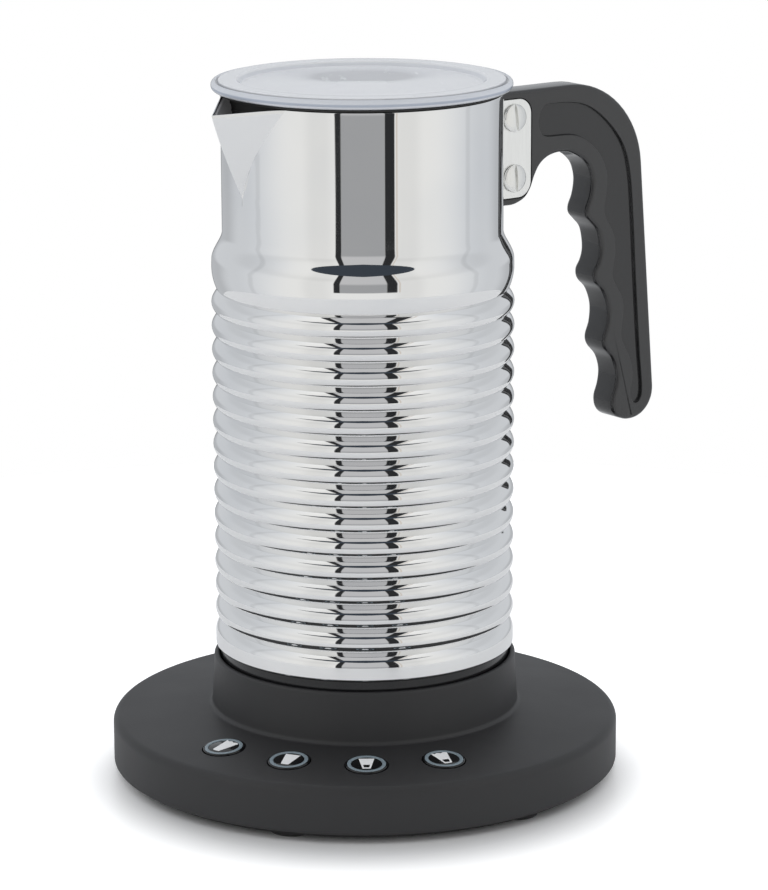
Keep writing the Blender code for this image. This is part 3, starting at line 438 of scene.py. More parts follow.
def board_green():
    """Solder mask with paler copper tracks under it."""
    finish = Finish("board_green")
    tracks = finish.add("TexBrick", {"Vector": finish.place(), "Scale": 1 / (6 * MM), "Mortar Size": 0.06,
                                     "Color1": (0, 0, 0), "Color2": (0, 0, 0), "Mortar": (1, 1, 1)})
    tint = finish.blend((0.012, 0.10, 0.04), (0.06, 0.30, 0.11), tracks)
    return finish.shade(Base_Color=tint, Roughness=0.35 + finish.noise(4) * 0.15)


# Painted light: strength of the coating's faint glow, standing in for light through the lid.
CUP_PAINTED_GLOW = 0.14


def cup_coating():
    """Non-stick coating with tiny lighter and darker specks, painted a lighter grey than the real dark
    coating as painted light.
    """
    finish = Finish("cup_coating")
    light = finish.grains(0.9).rises(0.16, 0.06)
    clouds = finish.noise(14, 3)
    # Painted light: the grey is lighter than the real coating, for light that comes through the lid.
    tint = finish.blend((0.22, 0.22, 0.225), (0.42, 0.42, 0.43), light * 0.5 + clouds * 0.3)
    normal = finish.relief(finish.noise(0.5, 2), 0.01)
    # The clear lid lets light into the cup. The lighter grey and a faint glow of the coating are painted
    # light that stands in for it.
    return finish.shade(Base_Color=tint, Metallic=0.2, Roughness=0.34 + clouds * 0.16, Normal=normal,
                        Emission_Color=tint, Emission_Strength=CUP_PAINTED_GLOW)


def lid_plastic():
    """Clear plastic made milky by light inside it: a cooler band round the rim as painted reflection,
    painted shade on the recess wall, in its groove and under the rim, faint scuffs outside."""
    finish = Finish("lid_plastic")
    radius, height = finish.cylindrical()
    edge = radius.rises(LID_RADIUS - 1.5, LID_RADIUS - 1.0)
    band = height.within(LID_BOTTOM + 0.9, LID_BOTTOM + 1.5, 0.25) * edge
    foot = (1 - height.rises(LID_BOTTOM + 0.15, LID_BOTTOM + 0.45)) * edge
    groove = radius.within(LID_RADIUS - 2.0, LID_RADIUS - 1.3, 0.12)
    groove = groove * height.rises(LID_BOTTOM + 1.9, LID_BOTTOM + 2.2)
    step = radius.within(RECESS_RADIUS - 0.9, RECESS_RADIUS + 0.1, 0.25)
    scuffs = finish.noise(2.5, 3, (1, 0.2, 1)).rises(0.58, 0.75)
    clouds = finish.noise(16, 2)
    tint = finish.blend((0.80, 0.81, 0.84), (0.85, 0.86, 0.88), clouds)
    # Painted reflection: the cooler band and rim edge. Painted shade: the darker ring on the recess wall.
    tint = finish.blend(tint, (0.40, 0.44, 0.52), band * 0.75 + edge * 0.45 + step * 0.3)
    # Painted shade: the dark line in the rim's groove and under its foot.
    tint = finish.blend(tint, (0.13, 0.14, 0.17), groove * 0.85 + foot * 0.6)
    return finish.shade(Base_Color=tint, Roughness=0.08 + scuffs * 0.10 + clouds * 0.05,
                        Transmission_Weight=0.06, IOR=1.47)


HANDLE_BLACK = handle_plastic()
BOARD = board_green()
COATING = cup_coating()
LID = lid_plastic()
print("all finishes:", len(bpy.data.materials))


# %% [markdown]
# The pieces are built in bmesh. Three tools cover nearly everything: spinning an outline round
# the axis, lofting between outlines, and sweeping a circle along a path. Cutting tools are
# applied with Blender's exact Boolean on temporary objects.

# %% Mesh tools
def between(start, end, steps):
    """Evenly spaced numbers from start to end, both included."""
    return [start + (end - start) * step / steps for step in range(steps + 1)]


def around(count):
    """Evenly spaced angles round a circle."""
    return [math.tau * step / count for step in range(count)]


def on_circle(radius, angle, height=0.0):
    """A point at that distance from the axis."""
    return Vector((radius * math.cos(angle), radius * math.sin(angle), height))


def spun(outline, steps=192, azimuths=None, closed=True):
    """Spin (radius, height) points round Z. azimuths(height) may give each row its own columns."""
    bm = bmesh.new()
    rings = []
    for radius, height in outline:
        if radius == 0:
            rings.append([bm.verts.new((0, 0, height))] * steps)
            continue
        columns = azimuths(height) if azimuths else around(steps)
        rings.append([bm.verts.new(on_circle(radius, angle, height)) for angle in columns])
    pairs = list(zip(rings, rings[1:]))
    if closed and outline[0][0] > 0:
        pairs.append((rings[-1], rings[0]))
    for lower, upper in pairs:
        for step in range(len(lower)):
            after = (step + 1) % len(lower)
            corners = dict.fromkeys((lower[step], lower[after], upper[after], upper[step]))
            if len(corners) > 2:
                bm.faces.new(corners)
    bmesh.ops.recalc_face_normals(bm, faces=bm.faces)
    return bm


def lofted(sections, ring=False):
    """Join sections of equally many points with faces. ring joins the last section to the first."""
    bm = bmesh.new()
    rows = [[bm.verts.new(point) for point in section] for section in sections]
    pairs = list(zip(rows, rows[1:]))
    if ring:
        pairs.append((rows[-1], rows[0]))
    for first, second in pairs:
        for index in range(len(first)):
            after = (index + 1) % len(first)
            bm.faces.new((first[index], first[after], second[after], second[index]))
    if not ring:
        bm.faces.new(rows[0])
        bm.faces.new(rows[-1])
    bmesh.ops.recalc_face_normals(bm, faces=bm.faces)
    return bm


def swept(path, radius, sides=10, ring=False):
    """A round wire along the path's points."""
    sections = []
    for index, point in enumerate(path):
        before = path[index - 1] if index or ring else point
        after = path[(index + 1) % len(path)] if index < len(path) - 1 or ring else point
        along = (after - before).normalized()
        side = along.orthogonal() if not sections else (side - along * side.dot(along)).normalized()
        side.normalize()
        other = along.cross(side)
        sections.append([point + (side * math.cos(a) + other * math.sin(a)) * radius for a in around(sides)])
    return lofted(sections, ring=ring)


def extruded(outline, bottom, top):
    """A straight upright body."""
    return lofted([[(x, y, z) for x, y in outline] for z in (bottom, top)])


def rectangle(half_x, half_y):
    return [(-half_x, -half_y), (half_x, -half_y), (half_x, half_y), (-half_x, half_y)]


def arc(centre, radius, start, end, steps=8):
    """Points on an arc, angles in degrees."""
    angles = [math.radians(angle) for angle in between(start, end, steps)]
    return [(centre[0] + radius * math.cos(a), centre[1] + radius * math.sin(a)) for a in angles]


def smooth_line(points, steps=8):
    """A smooth curve through the points."""
    padded = [points[0], *points, points[-1]]
    line = []
    for p0, p1, p2, p3 in zip(padded, padded[1:], padded[2:], padded[3:]):
        for step in range(steps):
            t = step / steps
            line.append(tuple(0.5 * (2 * b + (c - a) * t + (2 * a - 5 * b + 4 * c - d) * t * t
                                     + (3 * b - a - 3 * c + d) * t ** 3)
                              for a, b, c, d in zip(p0, p1, p2, p3)))
    line.append(points[-1])
    return line


def as_object(bm, name="tool"):
    """The mesh as an object in the scene."""
    mesh = bpy.data.meshes.new(name)
    bm.to_mesh(mesh)
    bm.free()
    thing = bpy.data.objects.new(name, mesh)
    bpy.context.scene.collection.objects.link(thing)
    return thing


BEVEL_ANGLE = math.radians(40)     # flatter edges stay as they are


def carved(bm, cutters=(), operation="DIFFERENCE", rounding=0.0):
    """The mesh after Boolean steps with the cutters, and with its sharp edges rounded."""
    target = as_object(bm)
    tools = [as_object(cutter) for cutter in cutters]
    for tool in tools:
        modifier = target.modifiers.new("cut", "BOOLEAN")
        modifier.operation = operation
        modifier.solver = "EXACT"
        modifier.object = tool
    if rounding:
        bevel = target.modifiers.new("edges", "BEVEL")
        bevel.width = rounding
        bevel.segments = 3
        bevel.limit_method = "ANGLE"
        bevel.angle_limit = BEVEL_ANGLE
    evaluated = target.evaluated_get(bpy.context.evaluated_depsgraph_get())
    result = bmesh.new()
    result.from_mesh(evaluated.to_mesh())
    for thing in [target, *tools]:
        bpy.data.objects.remove(thing)
    return result


FLAT_CAP_CORNERS = 12              # a face with this many corners is a flat cap


def piece(name, bm, material, body, stands_for=(), matrix=None, sharp=35):
    """Finish a mesh as a piece that rides on a body and may stand for CAD nodes."""
    bm.transform(Matrix.Scale(MM, 4))
    thing = as_object(bm, name)
    mesh = thing.data
    mesh.shade_smooth()
    if sharp:
        mesh.set_sharp_from_angle(angle=math.radians(sharp))
    for face in mesh.polygons:
        face.use_smooth = len(face.vertices) < FLAT_CAP_CORNERS
    mesh.materials.append(material)
    if matrix:
        thing.matrix_world = matrix
    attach(thing, body)
    if stands_for:
        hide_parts(*([stands_for] if isinstance(stands_for, str) else stands_for))
    print(f"{name}: {len(mesh.polygons)} faces on {body}")
    return thing


# %% [markdown]
# The floor is a white disc with painted light. Beyond it the white surround takes over, so it has no edge.

# %% Floor
FLOOR_RADIUS = 360
# Painted light: the floor's glow washes out the shadow from GLOW_START outwards, so these set the size and
# place of the shadow left round the base.
GLOW_SHIFT = 15                    # the glow's centre lies this far in front of the axis
GLOW_START = 60
GLOW_FULL = 86
GLOW = 0.55


def floor_white():
    """Matt white with a painted glow, seen by the camera only, away from the object, so that it meets the
    white surround.
    """
    finish = Finish("floor_white")
    distance = finish.cylindrical(shift=GLOW_SHIFT)[0]
    glow = distance.rises(GLOW_START, GLOW_FULL) * GLOW * finish.add("LightPath")
    tint = finish.blend((0.88, 0.88, 0.885), (0.90, 0.90, 0.90), finish.noise(60))
    white = finish.add("VectorMath", {0: (1.0, 1.0, 1.0), "Scale": glow}, operation="SCALE")
    return finish.shade(Base_Color=tint, Roughness=0.32, Specular_IOR_Level=0.35, Emission_Color=white,
                        Emission_Strength=1.0)


def floor():
    bm = spun([(FLOOR_RADIUS, 0), (0, 0)], steps=96, closed=False)
    for face in bm.faces:
        if face.normal.z < 0:
            face.normal_flip()
    bm.transform(Matrix.Scale(MM, 4))
    disc = as_object(bm, "floor")
    disc.data.materials.append(floor_white())
    disc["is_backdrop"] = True


floor()
print("floor made")

# %% [markdown]
# The base cover is one round moulding: side wall, a top that falls gently away, and the collar
# that holds the jug. It is spun from its section; extra points beside each rounding keep the
# flat parts shaded flat. Holes for the buttons are cut square to the sloping top.

# %% Base cover
BASE_TOP = 18.6                    # height of the top at the collar's foot
SLOPE = math.radians(6)
COLLAR_RADIUS = 43.6
COLLAR_TIP_RADIUS = 42.9
COLLAR_FILLET = 1.3
COLLAR_BORE = 41.4
COVER_HOLE = 38.5                  # the hole under the seat
COVER_WALL = 2.0
SIDE_WALL = 2.3
TIP_ROUND = 0.8
BORE_ROUND = 0.5
SKIRT_ROUND = 0.6
BASE_FILLET = 2.3
BASE_SKIRT = low("base_cover")
BUTTON_CIRCLE = 56.6
BUTTON_RADIUS = 5.8
BUTTON_RISE = 0.4
FRONT = math.radians(-101)
BUTTON_PITCH = math.radians(22)
BUTTON_ANGLES = [FRONT + BUTTON_PITCH * (index - 1.5) for index in range(4)]
OUTLET_HEIGHT = 8.5
OUTLET_RADIUS = 4.1
OUTLET_ANGLE = FRONT + math.pi
GAP = 0.3


def top_height(radius):
    """Height of the sloping top at that distance from the axis."""
    return BASE_TOP - (radius - COLLAR_RADIUS - COLLAR_FILLET) * math.tan(SLOPE)


def button_matrix(angle, scale=MM):
    """Place and tilt of a cap's top centre."""
    height = top_height(BUTTON_CIRCLE) + BUTTON_RISE / math.cos(SLOPE)
    spot = on_circle(BUTTON_CIRCLE, angle, height) * scale
    return Matrix.Translation(spot) @ Matrix.Rotation(angle, 4, "Z") @ Matrix.Rotation(SLOPE, 4, "Y")


def base_cover():
    slope = math.degrees(SLOPE)
    foot = COLLAR_RADIUS + COLLAR_FILLET
    edge = BASE_RADIUS - BASE_FILLET
    inner = BASE_RADIUS - SIDE_WALL
    tip = COLLAR_TOP - TIP_ROUND
    outline = [(COVER_HOLE, SEAT_TOP - COVER_WALL), (COLLAR_BORE, SEAT_TOP - COVER_WALL),
               (COLLAR_BORE, COLLAR_TOP - 2 * BORE_ROUND)]
    outline += arc((COLLAR_BORE + BORE_ROUND, COLLAR_TOP - BORE_ROUND), BORE_ROUND, 180, 90, 4)
    outline += arc((COLLAR_TIP_RADIUS - TIP_ROUND, tip), TIP_ROUND, 80, 0, 5)
    outline += [(COLLAR_RADIUS - 0.05, top_height(foot) + COLLAR_FILLET + 0.6)]
    outline += arc((foot, top_height(foot) + COLLAR_FILLET / math.cos(SLOPE)), COLLAR_FILLET,
                   180, 270 - slope, 8)
    outline += [(radius, top_height(radius)) for radius in (foot + 0.4, edge - 0.4)]
    outline += arc((edge, top_height(edge) - BASE_FILLET / math.cos(SLOPE)), BASE_FILLET,
                   90 - slope, 0, 10)
    outline += [(BASE_RADIUS, top_height(edge) - BASE_FILLET - 0.5), (BASE_RADIUS, BASE_SKIRT + 1.1)]
    outline += arc((BASE_RADIUS - SKIRT_ROUND, BASE_SKIRT + SKIRT_ROUND), SKIRT_ROUND, 0, -90, 4)
    outline += [(inner, BASE_SKIRT), (inner, top_height(inner) - COVER_WALL),
                (COVER_HOLE, top_height(COVER_HOLE) - COVER_WALL)]
    holes = []
    wide = BUTTON_RADIUS + GAP
    for angle in BUTTON_ANGLES:
        hole = spun([(0, -4), (wide, -4), (wide, -BUTTON_RISE - 0.25), (wide + 0.5, 4), (0, 4)], steps=64)
        hole.transform(button_matrix(angle, 1.0))
        holes.append(hole)
    port = spun([(0, 60), (OUTLET_RADIUS, 60), (OUTLET_RADIUS, 80), (0, 80)], steps=48)
    port.transform(Matrix.Translation((0, 0, OUTLET_HEIGHT)) @ Matrix.Rotation(OUTLET_ANGLE, 4, "Z")
                   @ Matrix.Rotation(math.pi / 2, 4, "Y"))
    shell = carved(spun(outline, steps=256), [*holes, port])
    piece("cover_moulding", shell, SOFT_BLACK, "base", "base_cover", sharp=28)


base_cover()

# %% [markdown]
# Under the jug lies the seat, and under the whole base a plate with screws and rubber feet.
# They are simple turned parts, but their broken edges catch the light.

# %% Seat, bottom plate, feet and cord outlet
FOOT_CIRCLE = 62.8
FOOT_RADIUS = 6.0
FOOT_ROUND = 0.4
FIRST_FOOT = math.radians(-109)
SCREW_ANGLES = [math.radians(angle) for angle in (20, 140, 200, 320)]
SCREW_CIRCLE = 62.0
CROSS_LENGTH = 1.7                 # half sizes of the screws' cross recess
CROSS_WIDTH = 0.35
SEAT_THICKNESS = 1.7
PLATE_EDGE = 69.3
PLATE_THICKNESS = 2.4
HUB_RADIUS = 18.0                  # the low boss under the middle
HUB_ROUND = 0.8
PLATE_GROOVES = (30, 42, 54)


def seat_and_bottom():
    rim = COLLAR_BORE - GAP
    seat = [(0, SEAT_TOP - SEAT_THICKNESS), (rim, SEAT_TOP - SEAT_THICKNESS)]
    seat += arc((rim - 0.4, SEAT_TOP - 0.4), 0.4, 0, 90, 4)
    seat += [(16, SEAT_TOP), (15.6, SEAT_TOP - 0.25), (14.6, SEAT_TOP - 0.25), (14.2, SEAT_TOP)]
    piece("seat_plate", spun([*seat, (0, SEAT_TOP)]), PLATE_BLACK, "base", "jug_seat")
    under = low("base_bottom") + 1.1
    top = under + PLATE_THICKNESS
    edge = PLATE_EDGE
    flat = HUB_RADIUS - HUB_ROUND
    outline = [(0, 0), (flat, 0), *arc((flat, HUB_ROUND), HUB_ROUND, -90, 0, 4), (HUB_RADIUS, under)]
    for groove in PLATE_GROOVES:
        outline += [(groove, under), (groove + 0.4, under + 0.5), (groove + 1.4, under + 0.5),
                    (groove + 1.8, under)]
    outline += [*arc((edge - 0.4, under + 0.4), 0.4, -90, 0, 3), (edge, top), (0, top)]
    sinks = []
    for angle in SCREW_ANGLES:
        sink = spun([(0, -1), (3.1, -1), (3.1, 2.3), (1.7, 2.3), (1.7, 5), (0, 5)], steps=32)
        sink.transform(Matrix.Translation(on_circle(SCREW_CIRCLE, angle)))
        sinks.append(sink)
    plate = carved(spun(outline), sinks)
    piece("bottom_plate", plate, PLATE_BLACK, "base", "base_bottom")


def feet():
    height = high("foot_1")
    for index in range(6):
        angle = FIRST_FOOT + math.tau * index / 6
        outline = [(0, 0.15), (4.4, 0.15), (4.7, 0),
                   *arc((FOOT_RADIUS - FOOT_ROUND, FOOT_ROUND), FOOT_ROUND, -90, 0, 4),
                   (FOOT_RADIUS, height), (0, height)]
        piece(f"rubber_foot_{index + 1}", spun(outline, 48), RUBBER, "base", f"foot_{index + 1}",
              Matrix.Translation(on_circle(FOOT_CIRCLE, angle) * MM))


def base_screws():
    for index, angle in enumerate(SCREW_ANGLES):
        outline = [(0, 1.25), (2.2, 1.3), (2.8, 1.75), (2.8, 2.2), (1.3, 2.2), (1.3, 10.5), (0, 11.5)]
        recess = [extruded(rectangle(*halves), 0, CROSS_LENGTH)
                  for halves in ((CROSS_WIDTH, CROSS_LENGTH), (CROSS_LENGTH, CROSS_WIDTH))]
        piece(f"plate_screw_{index + 1}", carved(spun(outline, 32), recess), FASTENER, "base",
              f"base_screw_{index + 1}",
              Matrix.Translation(on_circle(SCREW_CIRCLE, angle) * MM))


def cord_outlet():
    """A short ribbed bush; its bore is empty."""
    outline = [(2.8, 66.2), (4.6, 66.2), (4.6, 69.2), (3.8, 69.2), (3.8, 70.0), (3.5, 70.15),
               (3.5, 70.5), (3.8, 70.65), (3.8, 71.2), (3.5, 71.5), (3.0, 71.5), (2.8, 71.3)]
    place = Matrix.Translation((0, 0, OUTLET_HEIGHT * MM)) @ Matrix.Rotation(OUTLET_ANGLE, 4, "Z")
    piece("outlet_bush", spun(outline, 48), RUBBER, "base", "cord_outlet",
          place @ Matrix.Rotation(math.pi / 2, 4, "Y"))


seat_and_bottom()
feet()
base_screws()
cord_outlet()

# %% [markdown]
# Each push button is a glossy cap with a pale ring of light guide let into it. The printed
# symbol is a drinking glass that narrows outwards; a wavy lip stands for foam and a dark window
# for the fill, so that the four buttons differ. The symbols are thin solids laid on the cap.

# %% Push buttons
GLASS_LENGTH = 6.4
GLASS_WIDE = 4.3
GLASS_NARROW = 2.2
FOAM_WAVES = 2.5
FOAM_HEIGHT = 0.45
LIP_STEPS = 20
WINDOW_NEAR = (2.4, 0.95)          # distance from the narrow end, and half width
WINDOW_FAR = (0.7, 0.72)


def symbol(index, foam, window):
    """A glass seen from the side, wide end towards the jug."""
    half = GLASS_LENGTH / 2
    narrow = GLASS_NARROW / 2
    outline = [(-half, -GLASS_WIDE / 2), (half - 0.2, -narrow - 0.03), (half, -narrow + 0.2),
               (half, narrow - 0.2), (half - 0.2, narrow + 0.03), (-half, GLASS_WIDE / 2)]
    if foam:
        lip = [(-half - 0.1 - FOAM_HEIGHT * abs(math.sin(math.pi * FOAM_WAVES * step / LIP_STEPS)),
                GLASS_WIDE / 2 * (1 - 2 * step / LIP_STEPS) * 1.06) for step in range(LIP_STEPS + 1)]
        outline = outline[1:-1] + lip
    body = f"button_{index + 1}"
    place = button_matrix(BUTTON_ANGLES[index])
    piece(f"symbol_glass_{index + 1}", extruded(outline, -0.02, 0.05), SYMBOL_WHITE, body,
          matrix=place)
    if window:
        near = half - WINDOW_NEAR[0]
        far = half - WINDOW_FAR[0]
        outline = [(near, -WINDOW_NEAR[1]), (far, -WINDOW_FAR[1]), (far, WINDOW_FAR[1]),
                   (near, WINDOW_NEAR[1])]
        piece(f"symbol_window_{index + 1}", extruded(outline, 0.0, 0.07), BUTTON_BLACK, body,
              matrix=place)


def buttons():
    foam = (True, False, False, True)
    window = (False, False, True, True)
    for index, angle in enumerate(BUTTON_ANGLES):
        body = f"button_{index + 1}"
        place = button_matrix(angle)
        cap = [(0, -5.2), (1.5, -5.2), (1.5, -4.0), (7.0, -4.0), (7.0, -2.7), (BUTTON_RADIUS, -2.7),
               (BUTTON_RADIUS, -0.5), *arc((BUTTON_RADIUS - 0.35, -0.35), 0.35, 0, 90, 4),
               (5.4, 0), (5.4, -0.6), (4.2, -0.6), (4.2, -0.03), (4.1, 0), (0, 0)]
        piece(f"cap_{index + 1}", spun(cap, 96), BUTTON_BLACK, body, f"button_cap_{index + 1}",
              place)
        ring = [(4.3, -0.5), (5.3, -0.5), *arc((5.15, -0.05), 0.15, 0, 90, 3),
                *arc((4.45, -0.05), 0.15, 90, 180, 3)]
        piece(f"light_ring_{index + 1}", spun(ring, 96), RING_LIGHT, body, f"button_ring_{index + 1}",
              place)
        symbol(index, foam[index], window[index])


buttons()

# %% [markdown]
# The jug's outer wall is the piece that everyone looks at. From below: a plain band, fourteen
# rounded ribs with sharp grooves between them, a soft shoulder, and a straight neck that is
# pinched into a V-shaped spout. Spinning one section gives all but the spout. For the spout, the
# columns of points gather along its two creases, so the folds stay crisp without a denser mesh.

# %% Jug wall
RIBS = 14
RIB_TOP_CENTRE = 135.2
RIB_PITCH = 6.78
RIB_PEAK = 42.34
RIB_VALLEY = 40.4
NECK_RADIUS = 39.15
NECK_START = 156.5
SHOULDER_RADIUS = 42.22
SHOULDER_PEAK = 145.2
FLARE_LOW = 147.3                  # the S-curve between shoulder and neck
FLARE_HIGH = 155.0
TAIL_SLOPE = 0.05                  # of the S-curve's steepest part
SHELL_WALL = 0.6
SPOUT_AZIMUTH = math.radians(213.3)
SPOUT_START = 167.6
SPOUT_TIP_RADIUS = 48.7
SPOUT_DIP = 2.4                    # how much lower the tip is than the rim
SPOUT_HALF = math.radians(25.0)
CREASE_COLUMNS = 9                 # columns from the keel to a crease
MOVED_COLUMNS = 27                 # columns that shift to make room for them
LEAST_HALF = math.radians(0.8)     # columns never gather closer than this
JUG_COLUMNS = 216
NECK_ROWS = 30
SHELL_FOOT = 41.3             # the shell's rolled lower edge
FOOT_BAND = 3.4                    # height of the plain band under the ribs
ALMOST = 1e-4                      # points nearer than this count as one


def rise_at(height):
    return min(max((height - SPOUT_START) / (JUG_RIM - SPOUT_START), 0.0), 1.0)


def half_angle(height):
    """Angle from the spout's keel to its crease."""
    return SPOUT_HALF * rise_at(height) ** 1.45


def jug_azimuths(height):
    """Columns for one row, keel first. Towards the spout those on either side of it gather."""
    gathered = min(max((height - NECK_START) / (SPOUT_START - NECK_START), 0.0), 1.0)
    pitch = math.tau / JUG_COLUMNS
    even = pitch * CREASE_COLUMNS
    half = even + (max(half_angle(height), LEAST_HALF) - even) * gathered
    reach = pitch * MOVED_COLUMNS
    moved = MOVED_COLUMNS - CREASE_COLUMNS
    side = [half * step / CREASE_COLUMNS for step in range(CREASE_COLUMNS)]
    side += [half + (reach - half) * step / moved for step in range(moved)]
    far = [pitch * step for step in range(MOVED_COLUMNS, JUG_COLUMNS - MOVED_COLUMNS + 1)]
    other = [math.tau - angle for angle in reversed(side[1:])]
    return [SPOUT_AZIMUTH + angle for angle in side + far + other]


def keel_radius(rise):
    return NECK_RADIUS + (SPOUT_TIP_RADIUS - NECK_RADIUS) * (1.35 * rise - 0.35 * rise ** 2)


def pull_spout(bm):
    """Move the rows above the spout's start out to its two flat facets, and dip the rim there."""
    crease_edges = []
    for vert in bm.verts:
        height = vert.co.z
        if height <= SPOUT_START:
            continue
        angle = math.atan2(vert.co.y, vert.co.x)
        turn = abs((angle - SPOUT_AZIMUTH + math.pi) % math.tau - math.pi)
        rise = rise_at(height)
        half = half_angle(height)
        if turn < half * 1.0001:
            keel = keel_radius(rise)
            side = NECK_RADIUS * math.sin(half)
            back = keel - NECK_RADIUS * math.cos(half)
            growth = keel * side / (side * math.cos(turn) + back * math.sin(turn)) - NECK_RADIUS
            vert.co.x += growth * math.cos(angle)
            vert.co.y += growth * math.sin(angle)
        reach = max(0.0, 1 - turn / SPOUT_HALF)
        vert.co.z -= SPOUT_DIP * reach ** 1.3 * rise ** 2
        if turn < ALMOST or abs(turn - half) < ALMOST:
            crease_edges += vert.link_edges
    for edge in crease_edges:
        along = edge.verts[0].co - edge.verts[1].co
        if abs(along.z) > along.xy.length * 0.6:
            edge.smooth = False


def rib_profile():
    """Ribs from the bottom one up: half a cosine each, which leaves a sharp groove between two."""
    steps = 12
    outline = []
    for rib in reversed(range(RIBS)):
        centre = RIB_TOP_CENTRE - RIB_PITCH * rib
        for step in range(steps):
            along = step / steps - 0.5
            bulge = max(math.cos(math.pi * along), 0.0) ** 0.9
            outline.append((RIB_VALLEY + (RIB_PEAK - RIB_VALLEY) * bulge, centre + RIB_PITCH * along))
    return outline


def shoulder_profile(groove):
    """From the top groove out to the shoulder, then a gentle tail and an S-curve up to the neck."""
    steps = 20
    outline = []
    for step in range(steps):
        share = math.sin(math.pi / 2 * step / steps) ** 0.7
        outline.append((RIB_VALLEY + (SHOULDER_RADIUS - RIB_VALLEY) * share,
                        groove + (SHOULDER_PEAK - groove) * step / steps))
    heights = between(SHOULDER_PEAK, FLARE_HIGH, 48)
    slopes = []
    for height in heights[:-1]:
        along = max(0.0, (height - FLARE_LOW) / (FLARE_HIGH - FLARE_LOW))
        tail = TAIL_SLOPE * min(1.0, height - SHOULDER_PEAK) * (1 - along)
        slopes.append(tail + math.sin(math.pi * along) ** 0.8)
    for step, height in enumerate(heights):
        share = sum(slopes[:step]) / sum(slopes)
        outline.append((SHOULDER_RADIUS + (NECK_RADIUS - SHOULDER_RADIUS) * share, height))
    return outline


def neck_rows(top):
    return between(SPOUT_START, top, NECK_ROWS)


def sharpen_grooves(bm, groove):
    """Mark the edges that run round the bottoms of the grooves as sharp."""
    for edge in bm.edges:
        first, second = (vert.co for vert in edge.verts)
        middle = (first + second) / 2
        ribs_up = (middle.z - groove) / RIB_PITCH
        level = abs(first.z - second.z) < ALMOST
        at_groove = abs(ribs_up - round(ribs_up)) < 1e-3 and middle.z < groove + 1
        if level and at_groove and middle.xy.length > RIB_VALLEY - 0.2:
            edge.smooth = False


def jug_wall():
    groove = RIB_TOP_CENTRE + RIB_PITCH / 2
    outline = [(SHELL_FOOT, JUG_BOTTOM), *arc((41.6, JUG_BOTTOM + 0.75), 0.74, -90, 0, 5),
               (RIB_PEAK, JUG_BOTTOM + FOOT_BAND)]
    lowest = RIB_TOP_CENTRE - RIB_PITCH * (RIBS - 0.5)
    outline += [(RIB_VALLEY + (RIB_PEAK - RIB_VALLEY) * math.sin(math.radians(90 - 15 * step)) ** 0.9,
                 lowest - FOOT_BAND + FOOT_BAND * step / 6) for step in range(6)]
    outline += [*rib_profile(), *shoulder_profile(groove), (NECK_RADIUS, NECK_START)]
    gather = between(NECK_START, SPOUT_START, 4)[1:-1]
    heights = gather + neck_rows(JUG_RIM - SHELL_WALL / 2)
    outline += [(NECK_RADIUS, height) for height in heights]
    outline += arc((NECK_RADIUS - SHELL_WALL / 2, JUG_RIM - SHELL_WALL / 2), SHELL_WALL / 2, 30, 150, 4)
    inner = NECK_RADIUS - SHELL_WALL
    valley = RIB_VALLEY - SHELL_WALL
    outline += [(inner, height) for height in reversed(heights)]
    outline += [(inner, NECK_START), (inner, 152.5), (valley, 146), (valley, JUG_BOTTOM + 2),
                (SHELL_FOOT, JUG_BOTTOM + 0.7)]
    bm = spun(outline, JUG_COLUMNS, jug_azimuths)
    sharpen_grooves(bm, groove)
    pull_spout(bm)
    piece("polished_wall", bm, MIRROR, "jug", "jug_shell", sharp=0)


jug_wall()

# %% [markdown]
# Inside the jug sits the coated cup. Its wall follows the neck out into the spout, and a folded
# lip closes the gap to the outer wall. Below it are the dished floor, the skirt that stands in
# the collar and the fixed pin for the whisk.

# %% Cup, skirt and spindle
CUP_RADIUS = 37.3
CUP_CORNER = 5.0
CUP_BOTTOM = low("cup_floor")
CUP_WALL = 0.6
SPINDLE_TIP = high("whisk_spindle")
SKIRT_RADIUS = 41.1
SKIRT_BORE = 37.6


def cup():
    lip = NECK_RADIUS - SHELL_WALL - 0.1
    start = CUP_BOTTOM + CUP_CORNER + GAP
    heights = [start, NECK_START, *neck_rows(JUG_RIM - 2.6), JUG_RIM - 2.2]
    outline = [(CUP_RADIUS, height) for height in heights]
    outline += [(lip - 0.1, JUG_RIM - 1.4), (lip, JUG_RIM - 0.9), (lip, JUG_RIM - 0.5)]
    outline += [(radius - CUP_WALL, height) for radius, height in reversed(outline)]
    bm = spun(outline, JUG_COLUMNS, jug_azimuths)
    pull_spout(bm)
    piece("coated_wall", bm, COATING, "jug", "inner_cup", sharp=0)
    centre = (CUP_RADIUS - CUP_CORNER, CUP_BOTTOM + CUP_CORNER)
    top = CUP_BOTTOM + CUP_WALL
    floor = [(0, CUP_BOTTOM), *arc(centre, CUP_CORNER, -90, 0, 10),
             *arc(centre, CUP_CORNER - CUP_WALL, 0, -90, 10), (26, top), (25.6, top + 0.25), (0, top + 0.25)]
    piece("coated_floor", spun(floor), COATING, "jug", "cup_floor")


def skirt():
    bottom = low("jug_skirt")
    top = JUG_BOTTOM - GAP
    edge = SKIRT_RADIUS
    outline = [(30, bottom), *arc((edge - 0.8, bottom + 0.8), 0.8, -90, 0, 5), (edge, top),
               (SKIRT_BORE, top), (SKIRT_BORE, bottom + 1.1), (30, bottom + 1.1)]
    piece("gloss_skirt", spun(outline), SKIRT_BLACK, "jug", "jug_skirt")


